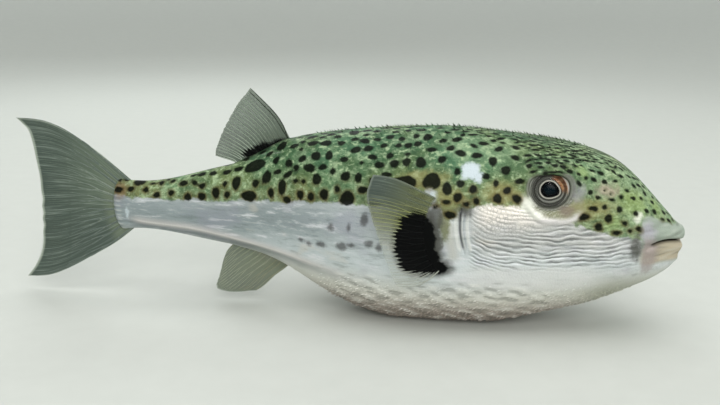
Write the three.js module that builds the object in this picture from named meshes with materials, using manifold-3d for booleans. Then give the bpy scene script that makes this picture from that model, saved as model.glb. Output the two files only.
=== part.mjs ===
// A silver-cheeked toadfish, the large spotted pufferfish of warm coasts, as a life-size
// model that lies on its belly with its fins half spread.
//
// Units are millimetres. +X points to the snout, +Y to the fish's left and +Z up. The origin
// is the middle of the small flat under the belly, on the floor. The head, lower jaw, trunk
// and tail stem are cut from one smooth body with thin parting gaps, and the eyes and fins
// are solids of their own.

import * as THREE from 'three';
import { mergeVertices } from 'three/addons/utils/BufferGeometryUtils.js';
import Module from 'manifold-3d';

const wasm = await Module();
wasm.setup();

// ---------------------------------------------------------------- driving dimensions

const SNOUT_X = 143; // tip of the upper lip
const TAIL_BASE_X = -212; // where the flesh ends inside the tail fin
const LIP_ROUND = 2; // length of the rounded front of the lips
const TAIL_ROUND = 6; // length of the rounded end of the tail stem
const GAP = 0.3; // clearance between pieces that touch

const GILL_X = 16; // parting of head and trunk, behind the gill slit
const GILL_LEAN = THREE.MathUtils.degToRad(5); // the parting leans back at the top
const VENT_X = -88; // parting of trunk and tail stem
const MOUTH_CORNER = { x: 119.5, z: 56 };
const MOUTH_RISE = THREE.MathUtils.degToRad(1); // the cleft is almost level
const JAW_X = 114; // rear end of the lower jaw piece, at the height of the mouth
const JAW_LEAN = THREE.MathUtils.degToRad(-30);

const EYE = { x: 61.5, y: 31.6, z: 88, radius: 12.3, depth: 8.2 };
const EYE_UP = THREE.MathUtils.degToRad(10);

const RINGS = 48; // cross-sections along the body
const SPOKES = 40; // corners of each cross-section
const FIN_STEPS = 4; // straight steps for each corner of a fin's outline
const EYE_MERIDIANS = 22;
const EYE_CIRCLES = 14;
const WELD = 1e-4; // corners closer than this are one

// Cross-sections of the body, from the snout to the tail. back and belly are the heights of
// the outline, half is half the width and wide the height of the widest point. crown tells
// how square the upper half is: 2 is an ellipse.
const SECTIONS = [
  { at: 'tail base', x: -206, back: 78.4, belly: 45.6, half: 5.2, wide: 62, crown: 2 },
  { at: 'tail stem, thinnest', x: -190, back: 78, belly: 46.4, half: 8.8, wide: 62, crown: 2 },
  { at: 'tail stem, rear', x: -168, back: 81.2, belly: 44.2, half: 11.4, wide: 62.5, crown: 2 },
  { at: 'tail stem, middle', x: -142, back: 88, belly: 39.8, half: 14.4, wide: 63.5, crown: 2 },
  { at: 'dorsal fin, rear', x: -118, back: 95.2, belly: 35.6, half: 18.6, wide: 65, crown: 2 },
  { at: 'dorsal fin, front', x: -96, back: 106.6, belly: 27, half: 24.6, wide: 66, crown: 2.05 },
  { at: 'vent', x: -76, back: 111.4, belly: 15.5, half: 31, wide: 63, crown: 2.1 },
  { at: 'flank', x: -52, back: 114.6, belly: 4.8, half: 37.2, wide: 58, crown: 2.15 },
  { at: 'belly, rear', x: -30, back: 116.6, belly: -0.8, half: 41, wide: 54, crown: 2.2 },
  { at: 'breast', x: -8, back: 117.7, belly: -1.6, half: 43, wide: 52, crown: 2.3 },
  { at: 'gill slit', x: 16, back: 117.4, belly: -1.2, half: 43.6, wide: 52, crown: 2.4 },
  { at: 'nape', x: 38, back: 115, belly: 0.4, half: 42.6, wide: 53, crown: 2.55 },
  { at: 'eye', x: 61, back: 112, belly: 6.4, half: 40, wide: 54, crown: 2.7 },
  { at: 'cheek', x: 86, back: 106.6, belly: 14, half: 35.4, wide: 54, crown: 2.6 },
  { at: 'nostrils', x: 104, back: 98.6, belly: 20.8, half: 30.6, wide: 54, crown: 2.5 },
  { at: 'snout', x: 120, back: 84.2, belly: 28, half: 24.4, wide: 55, crown: 2.35 },
  { at: 'chin', x: 131, back: 72.2, belly: 33.4, half: 18.8, wide: 56, crown: 2.2 },
  { at: 'mouth', x: 137.5, back: 65.6, belly: 37.4, half: 14.6, wide: 56, crown: 2.1 },
  { at: 'lips', x: 141, back: 62.6, belly: 41, half: 11.6, wide: 55.6, crown: 2 },
];
const SOLE = 2.15; // how square the lower half of each section is

const FIN_THICKNESS = 1; // dorsal, anal and pectoral fins
const TAIL_FIN_THICKNESS = 1.4;

// Fin outlines in side view, as [x, z] corners that smooth curves run through.
const DORSAL_FIN = {
  root: [[-126, 88], [-92, 100]],
  leading: [[-94, 108.5], [-99.8, 119.5], [-109, 130], [-118.2, 138.5]],
  trailing: [[-118.2, 138.5], [-125, 130.6], [-131, 121.5], [-137, 111], [-142.6, 99.5]],
  lower: [[-142.6, 99.5], [-141.5, 94.6], [-134, 93.2], [-126, 88]],
};
const ANAL_FIN = {
  root: [[-126, 44], [-92, 34]],
  leading: [[-96.5, 25.6], [-105, 18.6], [-115, 9.2], [-121, 6.2]],
  trailing: [[-121, 6.2], [-132, 5.2], [-145.8, 7.4], [-142.6, 19], [-137.4, 33]],
  lower: [[-137.4, 33], [-134, 37.5], [-130, 40], [-126, 44]],
};
const TAIL_FIN = {
  root: [[-204, 52], [-204, 72]],
  leading: [
    [-199, 78.6], [-219.8, 94.6], [-232.8, 103.6], [-246, 111], [-259.5, 115.4], [-276.9, 116.6],
  ],
  trailing: [
    [-276.9, 116.6], [-270, 109], [-265.6, 97], [-263.4, 80], [-262.8, 62.3], [-264.2, 46],
    [-267.6, 31], [-272.4, 18], [-280.1, 8.2],
  ],
  lower: [[-280.1, 8.2], [-263.1, 10.4], [-247, 17], [-231, 25.4], [-214, 35.2], [-199, 44.6]],
};

// The pectoral fin in its own plane: u runs back from the root and v up from the lowest ray.
const PECTORAL_FIN = {
  root: [[2, 3], [2, 35]],
  leading: [[-2, 38.5], [-15, 45.5], [-28, 51.5], [-40, 54]],
  trailing: [[-40, 54], [-43.6, 44.5], [-41.6, 31.5], [-36, 13.5], [-30.6, -2.5], [-26.5, -10.1]],
  lower: [[-26.5, -10.1], [-17, -10.6], [-8.5, -8], [-2, -0.5], [2, 3]],
};
const PECTORAL_ROOT = { x: 4.5, y: 42.2, z: 43.5 };
const PECTORAL_SPREAD = THREE.MathUtils.degToRad(15); // out from the flank
const PECTORAL_TILT = THREE.MathUtils.degToRad(5); // the upper end leans in with the flank

// ---------------------------------------------------------------- smooth curves

// The natural cubic spline through (xs, ys), with xs rising, as a function of x.
function spline(xs, ys) {
  const last = xs.length - 1;
  const bend = new Array(last + 1).fill(0);
  const carry = new Array(last + 1).fill(0);
  for (let i = 1; i < last; i += 1) {
    const before = xs[i] - xs[i - 1];
    const after = xs[i + 1] - xs[i];
    const turn = (ys[i + 1] - ys[i]) / after - (ys[i] - ys[i - 1]) / before;
    const pivot = 2 * (before + after) - before * carry[i - 1];
    carry[i] = after / pivot;
    bend[i] = (6 * turn - before * bend[i - 1]) / pivot;
  }
  for (let i = last - 1; i > 0; i -= 1) bend[i] -= carry[i] * bend[i + 1];

  return (x) => {
    let i = 0;
    while (i < last - 1 && x > xs[i + 1]) i += 1;
    const width = xs[i + 1] - xs[i];
    const b = THREE.MathUtils.clamp((x - xs[i]) / width, 0, 1);
    const a = 1 - b;
    const sag = (((a ** 3 - a) * bend[i] + (b ** 3 - b) * bend[i + 1]) * width ** 2) / 6;
    return a * ys[i] + b * ys[i + 1] + sag;
  };
}

const stations = SECTIONS.map((section) => section.x);
const along = (key) => spline(stations, SECTIONS.map((section) => section[key]));
const profile = {
  back: along('back'),
  belly: along('belly'),
  half: along('half'),
  wide: along('wide'),
  crown: along('crown'),
};

// ---------------------------------------------------------------- solids

// A closed solid from any three.js geometry whose surface is closed.
function toSolid(geometry) {
  const bare = geometry.index ? geometry.clone() : geometry;
  bare.deleteAttribute('normal');
  bare.deleteAttribute('uv');
  const merged = mergeVertices(bare, WELD);
  const vertProperties = new Float32Array(merged.attributes.position.array);
  const triVerts = new Uint32Array(merged.index.array);
  return new wasm.Manifold(new wasm.Mesh({ numProp: 3, vertProperties, triVerts }));
}

function toGeometry(solid) {
  const mesh = solid.getMesh();
  const geometry = new THREE.BufferGeometry();
  geometry.setAttribute('position', new THREE.BufferAttribute(mesh.vertProperties, 3));
  geometry.setIndex(new THREE.BufferAttribute(mesh.triVerts, 1));
  return geometry;
}

// How much of its full section the body has at x: 1, but less in the rounded ends.
function fullness(x) {
  const front = Math.max(0, (x - (SNOUT_X - LIP_ROUND)) / LIP_ROUND);
  const rear = Math.max(0, (TAIL_BASE_X + TAIL_ROUND - x) / TAIL_ROUND);
  return Math.sqrt(Math.max(0, 1 - Math.max(front, rear) ** 2));
}

// The corners of the body's cross-section at x, grown outwards by grow. The belly is cut flat
// where it would reach below the floor.
function crossSection(x, grow) {
  const full = fullness(x);
  const wide = profile.wide(x);
  const half = profile.half(x) * full + grow;
  const up = (profile.back(x) - wide) * full + grow;
  const down = (wide - profile.belly(x)) * full + grow;
  const corners = [];
  for (let i = 0; i < SPOKES; i += 1) {
    const turn = (2 * Math.PI * i) / SPOKES;
    const power = 2 / (Math.sin(turn) > 0 ? profile.crown(x) : SOLE);
    const y = half * Math.sign(Math.cos(turn)) * Math.abs(Math.cos(turn)) ** power;
    const rise = Math.abs(Math.sin(turn)) ** power;
    const z = Math.sin(turn) > 0 ? wide + up * rise : wide - down * rise;
    corners.push(new THREE.Vector3(x, y, Math.max(z, 0)));
  }
  return corners;
}

// The whole body from lips to tail base. Rings lie closest together at the two rounded ends.
function bodySolid(grow) {
  const middle = (SNOUT_X + TAIL_BASE_X) / 2;
  const reach = (SNOUT_X - TAIL_BASE_X) / 2;
  const points = [new THREE.Vector3(SNOUT_X + grow, 0, profile.wide(SNOUT_X))];
  for (let ring = 1; ring < RINGS; ring += 1) {
    points.push(...crossSection(middle + reach * Math.cos((Math.PI * ring) / RINGS), grow));
  }
  points.push(new THREE.Vector3(TAIL_BASE_X - grow, 0, profile.wide(TAIL_BASE_X)));

  const faces = [];
  const end = points.length - 1;
  const corner = (ring, i) => 1 + (ring - 1) * SPOKES + (i % SPOKES);
  for (let i = 0; i < SPOKES; i += 1) {
    faces.push(0, corner(1, i), corner(1, i + 1));
    for (let ring = 1; ring < RINGS - 1; ring += 1) {
      faces.push(corner(ring, i), corner(ring + 1, i), corner(ring + 1, i + 1));
      faces.push(corner(ring, i), corner(ring + 1, i + 1), corner(ring, i + 1));
    }
    faces.push(end, corner(RINGS - 1, i + 1), corner(RINGS - 1, i));
  }
  const geometry = new THREE.BufferGeometry().setFromPoints(points);
  geometry.setIndex(faces);
  return toSolid(geometry);
}

// Keeps the part of a solid on the side of a plane that its normal points to.
function keep(solid, normal, point, clearance) {
  return solid.trimByPlane(normal.toArray(), normal.dot(point) + clearance);
}

// A flat fin from its outline, with its middle plane on y = 0.
function finSolid(outline, thickness) {
  const shape = new THREE.Shape();
  const corner = (pair) => new THREE.Vector2(...pair);
  shape.moveTo(...outline.root[1]);
  shape.lineTo(...outline.leading[0]);
  for (const edge of [outline.leading, outline.trailing, outline.lower]) {
    shape.splineThru(edge.slice(1).map(corner));
  }
  shape.lineTo(...outline.root[0]);
  const geometry = new THREE.ExtrudeGeometry(shape, {
    depth: thickness,
    bevelEnabled: false,
    curveSegments: FIN_STEPS,
  });
  geometry.rotateX(Math.PI / 2);
  geometry.translate(0, thickness / 2, 0);
  return toSolid(geometry);
}

function eyeSolid(grow, side) {
  const ball = new THREE.SphereGeometry(1, EYE_MERIDIANS, EYE_CIRCLES);
  ball.scale(EYE.radius + grow, EYE.depth + grow, EYE.radius + grow);
  ball.rotateX(side * EYE_UP);
  ball.translate(EYE.x, side * EYE.y, EYE.z);
  return toSolid(ball);
}

function pectoralSolid(side) {
  const geometry = toGeometry(finSolid(PECTORAL_FIN, FIN_THICKNESS));
  geometry.rotateX(side * PECTORAL_TILT);
  geometry.rotateZ(-side * PECTORAL_SPREAD);
  geometry.translate(PECTORAL_ROOT.x, side * PECTORAL_ROOT.y, PECTORAL_ROOT.z);
  return toSolid(geometry);
}

// ---------------------------------------------------------------- the fish

const LEFT = 1;
const RIGHT = -1;

const body = bodySolid(0);
const clearance = bodySolid(GAP);
const half = GAP / 2;

const gillNormal = new THREE.Vector3(Math.cos(GILL_LEAN), 0, Math.sin(GILL_LEAN));
const gillPoint = new THREE.Vector3(GILL_X, 0, 0);
const ventNormal = new THREE.Vector3(1, 0, 0);
const ventPoint = new THREE.Vector3(VENT_X, 0, 0);
const cleftNormal = new THREE.Vector3(Math.sin(MOUTH_RISE), 0, -Math.cos(MOUTH_RISE));
const cleftPoint = new THREE.Vector3(MOUTH_CORNER.x, 0, MOUTH_CORNER.z);
const jawNormal = new THREE.Vector3(Math.cos(JAW_LEAN), 0, Math.sin(JAW_LEAN));
const jawPoint = new THREE.Vector3(JAW_X, 0, MOUTH_CORNER.z);

// The part of a solid below the mouth cleft and ahead of the jaw's rear end.
function jawPart(solid, margin) {
  return keep(keep(solid, cleftNormal, cleftPoint, margin), jawNormal, jawPoint, margin);
}

const head = keep(body, gillNormal, gillPoint, half)
  .subtract(jawPart(clearance, -half))
  .subtract(eyeSolid(GAP, RIGHT))
  .subtract(eyeSolid(GAP, LEFT));
const behindGills = keep(body, gillNormal.clone().negate(), gillPoint, half);
const trunk = keep(behindGills, ventNormal, ventPoint, half);
const tailStem = keep(body, ventNormal.clone().negate(), ventPoint, half);

const FINISHES = {
  skin: { color: 0x8f9a86, roughness: 0.45 },
  tail: { color: 0x8d957f, roughness: 0.45 },
  jaw: { color: 0xb3aca4, roughness: 0.5 },
  eye: { color: 0x2a2c2e, roughness: 0.08 },
  fin: { color: 0x7f8474, roughness: 0.5 },
};

function piece(name, solid, finish) {
  const material = new THREE.MeshStandardMaterial({ ...FINISHES[finish], metalness: 0 });
  const mesh = new THREE.Mesh(toGeometry(solid), material);
  mesh.name = name;
  return mesh;
}

const fish = new THREE.Group();
fish.add(piece('head', head, 'skin'));
fish.add(piece('lower_jaw', jawPart(body, half), 'jaw'));
fish.add(piece('trunk', trunk, 'skin'));
fish.add(piece('tail_stem', tailStem, 'tail'));
fish.add(piece('dorsal_fin', finSolid(DORSAL_FIN, FIN_THICKNESS).subtract(clearance), 'fin'));
fish.add(piece('anal_fin', finSolid(ANAL_FIN, FIN_THICKNESS).subtract(clearance), 'fin'));
fish.add(piece('tail_fin', finSolid(TAIL_FIN, TAIL_FIN_THICKNESS).subtract(clearance), 'fin'));
for (const [side, word] of [[RIGHT, 'right'], [LEFT, 'left']]) {
  fish.add(piece(`eye_${word}`, eyeSolid(0, side), 'eye'));
  fish.add(piece(`pectoral_fin_${word}`, pectoralSolid(side).subtract(clearance), 'fin'));
}

export default fish;
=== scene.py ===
"""A life-size silver-cheeked toadfish, a large spotted pufferfish, lying on a pale floor.

One skin covers the head, lower jaw, trunk and tail stem. It is a grid of rings along the body
that carries its own relief and markings. Spinules, eyes and fins are pieces of their own.
Lengths are millimetres until a mesh is made, and metres from there on.
"""

import logging
import math
from dataclasses import dataclass, field
from enum import Enum
from typing import Callable, Iterable, Sequence

import bmesh
import bpy
import numpy as np
from bpy.types import ID, Material, Mesh, Node, NodeSocket, NodeTree, Object
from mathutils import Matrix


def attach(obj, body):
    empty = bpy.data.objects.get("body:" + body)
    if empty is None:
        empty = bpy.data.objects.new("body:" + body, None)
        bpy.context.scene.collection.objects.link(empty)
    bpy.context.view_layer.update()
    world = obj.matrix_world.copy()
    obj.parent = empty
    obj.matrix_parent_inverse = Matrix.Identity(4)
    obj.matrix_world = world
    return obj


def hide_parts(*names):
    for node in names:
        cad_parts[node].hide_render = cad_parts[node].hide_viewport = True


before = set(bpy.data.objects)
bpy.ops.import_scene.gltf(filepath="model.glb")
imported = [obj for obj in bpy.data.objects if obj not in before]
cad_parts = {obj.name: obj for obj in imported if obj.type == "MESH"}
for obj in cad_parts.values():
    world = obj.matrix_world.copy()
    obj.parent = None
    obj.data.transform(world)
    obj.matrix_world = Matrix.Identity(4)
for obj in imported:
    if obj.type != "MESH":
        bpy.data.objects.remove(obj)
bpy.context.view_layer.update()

MM = 0.001
BAKE_MAP = "OFBake"
LOG = logging.getLogger("toadfish")

Colour = tuple[float, float, float, float]
Oval = tuple[float, float, float, float]
Point2 = tuple[float, float]
Point3 = tuple[float, float, float]
Array = np.ndarray
Fields = dict[str, Array]


class Side(Enum):
    """The two sides of the fish, as the sign of Y."""

    RIGHT = -1
    LEFT = 1

    @property
    def word(self) -> str:
        """The side's name as node names use it."""
        return self.name.lower()

    @property
    def mirror(self) -> Array:
        """What turns a place on the left side into one on this side."""
        return np.array([1, self.value, 1])


# ---- curves and small maths


def paint(code: str) -> Colour:
    """Turn a display colour into a linear one.

    Args:
        code: Six hexadecimal digits for red, green and blue.

    Returns:
        The linear colour, with an alpha of 1.
    """
    channels = [int(code[i : i + 2], 16) / 255 for i in (0, 2, 4)]
    linear = [c / 12.92 if c <= 0.04045 else ((c + 0.055) / 1.055) ** 2.4 for c in channels]
    return (linear[0], linear[1], linear[2], 1.0)


def rise(low: float, high: float, value: Array) -> Array:
    """Climb smoothly from 0 at low to 1 at high."""
    t = np.clip((value - low) / (high - low), 0, 1)
    return t * t * (3 - 2 * t)


def within(value: Array, start: float, full: float, last: float, end: float) -> Array:
    """Climb from 0 at start to 1 at full, and come down from 1 at last to 0 at end."""
    return rise(start, full, value) * (1 - rise(last, end, value))


def bell(value: Array, middle: float | Array, width: float) -> Array:
    """A bump of height 1 at middle that fades over width."""
    return np.exp(-(((value - middle) / width) ** 2))


def unit(vectors: Array) -> Array:
    """Scale vectors to length 1."""
    return vectors / np.maximum(np.linalg.norm(vectors, axis=-1, keepdims=True), 1e-9)


def folded(points: Array) -> tuple[Array, Array, Array]:
    """Split points into x, the distance from the fish's middle and z."""
    return points[..., 0], np.abs(points[..., 1]), points[..., 2]


class Curve:
    """The natural cubic spline through some points, as a function of the first number."""

    def __init__(self, points: Iterable[Point2]) -> None:
        """Solve the spline's bends.

        Args:
            points: Pairs in any order. Their first numbers differ.
        """
        pairs = np.array(sorted(points), dtype=float)
        self.at, self.value = pairs[:, 0], pairs[:, 1]
        gap = np.diff(self.at)
        slope = np.diff(self.value) / gap
        system = np.eye(len(pairs))
        turn = np.zeros(len(pairs))
        for i in range(1, len(pairs) - 1):
            system[i, i - 1 : i + 2] = gap[i - 1], 2 * (gap[i - 1] + gap[i]), gap[i]
            turn[i] = 6 * (slope[i] - slope[i - 1])
        self.bend = np.linalg.solve(system, turn)

    def __call__(self, x: Array | float) -> Array:
        """Evaluate the curve, which keeps its end values outside its range.

        Args:
            x: Places along the curve.

        Returns:
            Its values there.
        """
        i = np.clip(np.searchsorted(self.at, x) - 1, 0, len(self.at) - 2)
        gap = self.at[i + 1] - self.at[i]
        b = np.clip((x - self.at[i]) / gap, 0, 1)
        a = 1 - b
        sag = ((a**3 - a) * self.bend[i] + (b**3 - b) * self.bend[i + 1]) * gap**2 / 6
        return a * self.value[i] + b * self.value[i + 1] + sag


class Path:
    """A smooth open path through points in a plane, from 0 at its start to 1 at its end."""

    def __init__(self, points: Sequence[Point2]) -> None:
        """Spread the points by the distance between them.

        Args:
            points: The corners that the path runs through.
        """
        corners = np.array(points, dtype=float)
        steps = np.sqrt(np.linalg.norm(np.diff(corners, axis=0), axis=1))
        along = np.concatenate([[0], np.cumsum(steps)]) / steps.sum()
        self.across = Curve(zip(along, corners[:, 0]))
        self.up = Curve(zip(along, corners[:, 1]))

    def __call__(self, t: Array | float) -> Array:
        """Give the places at t."""
        return np.stack([self.across(t), self.up(t)], axis=-1)


@dataclass(frozen=True)
class Ripple:
    """A smooth random field between about -1 and 1, made of plane waves.

    Attributes:
        pitch: Typical distance between crests along X, Y and Z.
        seed: Picks the waves.
        waves: How many waves are added.
    """

    pitch: Point3
    seed: int
    waves: int = 9

    def __call__(self, points: Array) -> Array:
        """Evaluate the field.

        Args:
            points: Places in space.

        Returns:
            The field's values there.
        """
        random = np.random.default_rng(self.seed)
        total = np.zeros(points.shape[:-1])
        for _ in range(self.waves):
            heading = unit(random.normal(size=3)) * 2 * np.pi / np.array(self.pitch)
            total += np.sin(points @ (heading * random.uniform(0.6, 1.5)) + random.uniform(0, 6.3))
        return total / math.sqrt(self.waves * 1.4)


# ---- the camera's view


@dataclass(frozen=True)
class Sight:
    """Where the camera stands and how it sees, for a frame of 720 by 405 points.

    Attributes:
        place: The camera's position.
        azimuth: Degrees that it is turned to the left of +Y.
        down: Degrees that it looks down.
        focal: Focal length in frame points.
        middle: The middle of the frame.
    """

    place: Point3 = (25.5, -476.3, 187.9)
    azimuth: float = 9.0
    down: float = 13.87
    focal: float = 800.0
    middle: Point2 = (360.0, 202.5)

    def axes(self) -> tuple[Array, Array, Array]:
        """Work out how the camera is turned.

        Returns:
            Its right, up and forward directions.
        """
        a, p = math.radians(self.azimuth), math.radians(self.down)
        right = np.array([math.cos(a), math.sin(a), 0])
        ahead = np.array([-math.sin(a) * math.cos(p), math.cos(a) * math.cos(p), -math.sin(p)])
        return right, np.cross(right, ahead), ahead

    def project(self, points: Array) -> Array:
        """See where points appear.

        Args:
            points: Places in space.

        Returns:
            Their places in the frame, across and down.
        """
        right, up, ahead = self.axes()
        away = points - np.array(self.place)
        scale = self.focal / (away @ ahead)
        across, down = self.middle
        return np.stack([across + away @ right * scale, down - away @ up * scale], axis=-1)

    def build(self) -> None:
        """Make the camera and look through it."""
        camera = bpy.data.cameras.new("camera")
        camera.sensor_width = 36.0
        camera.lens = camera.sensor_width * self.focal / (2 * self.middle[0])
        camera.clip_start = 0.01
        holder = add_object("camera", camera)
        holder.location = [c * MM for c in self.place]
        holder.rotation_euler = (math.radians(90 - self.down), 0, math.radians(self.azimuth))
        bpy.context.scene.camera = holder


# ---- the body's shape


@dataclass(frozen=True)
class Station:
    """One cross-section of the body.

    Attributes:
        name: The part of the fish it lies at.
        x: Its place along the body.
        back: Height of the back.
        belly: Height of the belly.
        half: Half the width.
        wide: Height of the widest point.
        crown: How square the upper half is, where 2 is an ellipse.
    """

    name: str
    x: float
    back: float
    belly: float
    half: float
    wide: float
    crown: float


STATIONS = (
    Station("tail base", -206, 78.4, 45.6, 5.2, 62, 2),
    Station("tail stem, thinnest", -190, 78, 46.4, 8.8, 62, 2),
    Station("tail stem, rear", -168, 81.2, 44.2, 11.4, 62.5, 2),
    Station("tail stem, middle", -142, 88, 39.8, 14.4, 63.5, 2),
    Station("dorsal fin, rear", -118, 95.2, 35.6, 18.6, 65, 2),
    Station("dorsal fin, front", -96, 106.6, 27, 24.6, 66, 2.05),
    Station("vent", -76, 111.4, 15.5, 31, 63, 2.1),
    Station("flank", -52, 114.6, 4.8, 37.2, 58, 2.15),
    Station("belly, rear", -30, 116.6, -0.8, 41, 54, 2.2),
    Station("breast", -8, 117.7, -1.6, 43, 52, 2.3),
    Station("gill slit", 16, 117.4, -1.2, 43.6, 52, 2.4),
    Station("nape", 38, 115, 0.4, 42.6, 53, 2.55),
    Station("eye", 61, 112, 6.4, 40, 54, 2.7),
    Station("cheek", 86, 106.6, 14, 35.4, 54, 2.6),
    Station("nostrils", 104, 98.6, 20.8, 30.6, 54, 2.5),
    Station("snout", 120, 84.2, 28, 24.4, 55, 2.35),
    Station("chin", 131, 72.2, 33.4, 18.8, 56, 2.2),
    Station("mouth", 137.5, 65.6, 37.4, 14.6, 56, 2.1),
    Station("lips", 141, 62.6, 41, 11.6, 55.6, 2),
)


@dataclass
class SkinGrid:
    """The body's surface as rings of points, from the snout to the tail.

    A ring starts under the belly and runs up the left side, over the back and down the right.

    Attributes:
        snout: Tip of the upper lip.
        tail: End of the flesh inside the tail fin.
        lip_round: Length of the rounded front.
        tail_round: Length of the rounded end.
        sole: How square the lower halves of the rings are.
        floor_ease: How softly the belly flattens onto the floor.
        upper_steps: Steps from a side's widest point to the back.
        lower_steps: Steps from there to the middle of the belly.
        nose_rings: Rings round the front.
        tail_rings: Rings round the end.
        spacing: Distance between rings at places along the body.
        points: The points, ring by ring.
        normals: The outward normals there.
        girth: Distances round each ring before the skin gets its relief.
    """

    snout: float = 143.0
    tail: float = -212.0
    lip_round: float = 2.0
    tail_round: float = 6.0
    sole: float = 2.15
    floor_ease: float = 0.7
    upper_steps: int = 92
    lower_steps: int = 53
    nose_rings: int = 15
    tail_rings: int = 9
    spacing: tuple[Point2, ...] = (
        (-206, 1.1), (-190, 2.0), (-120, 1.9), (-60, 1.6), (0, 1.3), (7, 0.65), (22, 0.65),
        (30, 1.05), (44, 1.0), (50, 0.62), (73, 0.62), (80, 0.85), (112, 0.85), (128, 0.7), (141, 0.4),
    )
    points: Array = field(init=False)
    normals: Array = field(init=False)
    girth: Array = field(init=False)

    def ring_places(self) -> Array:
        """Place the rings along the body, densest where the relief is finest.

        Returns:
            Their places, from the snout to the tail.
        """
        front, rear = self.snout - self.lip_round, self.tail + self.tail_round
        nose = front + self.lip_round * np.sin(np.linspace(np.pi / 2, 0, self.nose_rings + 1))
        end = rear - self.tail_round * np.sin(np.linspace(0, np.pi / 2, self.tail_rings + 1))
        along, step = zip(*self.spacing)
        places = [front]
        while places[-1] > rear:
            places.append(places[-1] - np.interp(places[-1], along, step))
        main = front + (np.array(places) - front) * (rear - front) / (places[-1] - front)
        return np.concatenate([nose[1:-1], main, end[1:-1]])

    def build(self) -> None:
        """Lay out the rings and measure their normals."""
        profile = {
            key: Curve((s.x, getattr(s, key)) for s in STATIONS)
            for key in ("back", "belly", "half", "wide", "crown")
        }
        dense = np.linspace(0, np.pi / 2, 500)
        upper = np.linspace(0, 1, self.upper_steps + 1)
        upper = 0.7 * upper + 0.3 * upper**2
        lower = np.linspace(0, 1, self.lower_steps + 1)
        lower = 0.55 * lower + 0.45 * lower**2
        rings, girth = [], []
        for x in self.ring_places():
            front = max(0.0, (x - self.snout + self.lip_round) / self.lip_round)
            rear = max(0.0, (self.tail + self.tail_round - x) / self.tail_round)
            full = math.sqrt(max(0.0, 1 - max(front, rear) ** 2))
            wide, half = profile["wide"](x), profile["half"](x) * full
            quarters = []
            for reach, power, shares in (
                ((profile["back"](x) - wide) * full, 2 / profile["crown"](x), upper),
                ((profile["belly"](x) - wide) * full, 2 / self.sole, lower),
            ):
                y, z = half * np.cos(dense) ** power, reach * np.sin(dense) ** power
                length = np.concatenate([[0], np.cumsum(np.hypot(np.diff(y), np.diff(z)))])
                pick = shares * length[-1]
                quarters.append(np.stack([np.interp(pick, length, y), np.interp(pick, length, z)], 1))
            top, bottom = quarters
            mirror = np.array([-1, 1])
            loop = np.concatenate([bottom[::-1], top[1:], (top[:-1] * mirror)[::-1], bottom[1:-1] * mirror])
            rings.append(np.column_stack([np.full(len(loop), x), loop[:, 0], wide + loop[:, 1]]))
            girth.append(np.linalg.norm(np.diff(loop, axis=0, append=loop[:1]), axis=1))
        self.points = np.array(rings)
        height = self.points[..., 2]
        self.points[..., 2] = 0.5 * (height + np.sqrt(height**2 + self.floor_ease**2))
        self.girth = np.array(girth)
        self.measure()

    def measure(self) -> None:
        """Work out the outward normals again after the points have moved."""
        along = np.gradient(self.points, axis=0)
        around = np.roll(self.points, -1, axis=1) - np.roll(self.points, 1, axis=1)
        self.normals = unit(np.cross(along, around))

    def unwrap(self) -> tuple[Array, Array]:
        """Unroll the skin, cut along the belly.

        Returns:
            The places along the body and the places around it, both from 0 to 1. The second
            has one more column than the grid, for the far side of the cut.
        """
        middle = self.points.mean(axis=1)
        along = np.concatenate([[0], np.cumsum(np.linalg.norm(np.diff(middle, axis=0), axis=1))])
        around = np.concatenate([np.zeros((len(along), 1)), np.cumsum(self.girth, axis=1)], axis=1)
        spread = around - around[:, -1:] / 2
        return 0.02 + 0.96 * along / along[-1], 0.5 + 0.48 * spread / np.abs(spread).max()


# ---- relief of the skin


@dataclass(frozen=True)
class EyeSite:
    """Where an eye sits in the head.

    Attributes:
        centre: Middle of the opening between the lids, for the left side.
        lean: Degrees that the eye looks up.
        along: Half the opening's length.
        above: Half its height above the middle, under the brow.
        below: Half its height under the middle.
        brow: How square the opening is under the brow, where 2 is round.
    """

    centre: Point3 = (61.3, 37.4, 89.4)
    lean: float = 9.0
    along: float = 11.4
    above: float = 8.6
    below: float = 10.7
    brow: float = 2.7

    def axes(self, side: Side) -> Array:
        """Work out how the eye is turned.

        Args:
            side: Which eye.

        Returns:
            Its forward, up and outward directions, as rows.
        """
        lean = math.radians(self.lean)
        out = np.array([0, side.value * math.cos(lean), math.sin(lean)])
        up = np.array([0, -side.value * math.sin(lean), math.cos(lean)])
        return np.array([[1.0, 0, 0], up, out])

    def local(self, points: Array, side: Side) -> Array:
        """Places of points as forward, up and outward distances from the opening."""
        return (points - side.mirror * self.centre) @ self.axes(side).T

    def radius(self, place: Array) -> Array:
        """Measure how far out places lie.

        Args:
            place: Forward, up and outward distances from the opening.

        Returns:
            Distances from the middle, where 1 is the edge of the opening.
        """
        upper = place[..., 1] > 0
        power = np.where(upper, self.brow, 2.0)
        along = np.abs(place[..., 0]) / self.along
        height = np.abs(place[..., 1]) / np.where(upper, self.above, self.below)
        return (along**power + height**power) ** (1 / power)

    def bow(self, place: Array) -> Array:
        """Radius of the crest of the pouch under the eye, which drops away in front."""
        forward = place[..., 0] / np.maximum(np.hypot(place[..., 0], place[..., 1]), 0.1)
        return 1.3 + 0.33 * rise(-0.85, -0.05, forward) + 0.3 * rise(0.1, 0.75, forward)


class Marks(dict[str, Array]):
    """Fields over the skin's points that its finish reads, by name."""

    def most(self, name: str, amount: Array) -> None:
        """Raise a field to an amount wherever it is less."""
        self[name] = np.maximum(self[name], amount)

    def add(self, name: str, amount: Array) -> None:
        """Add an amount to a field."""
        self[name] = self[name] + amount


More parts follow.
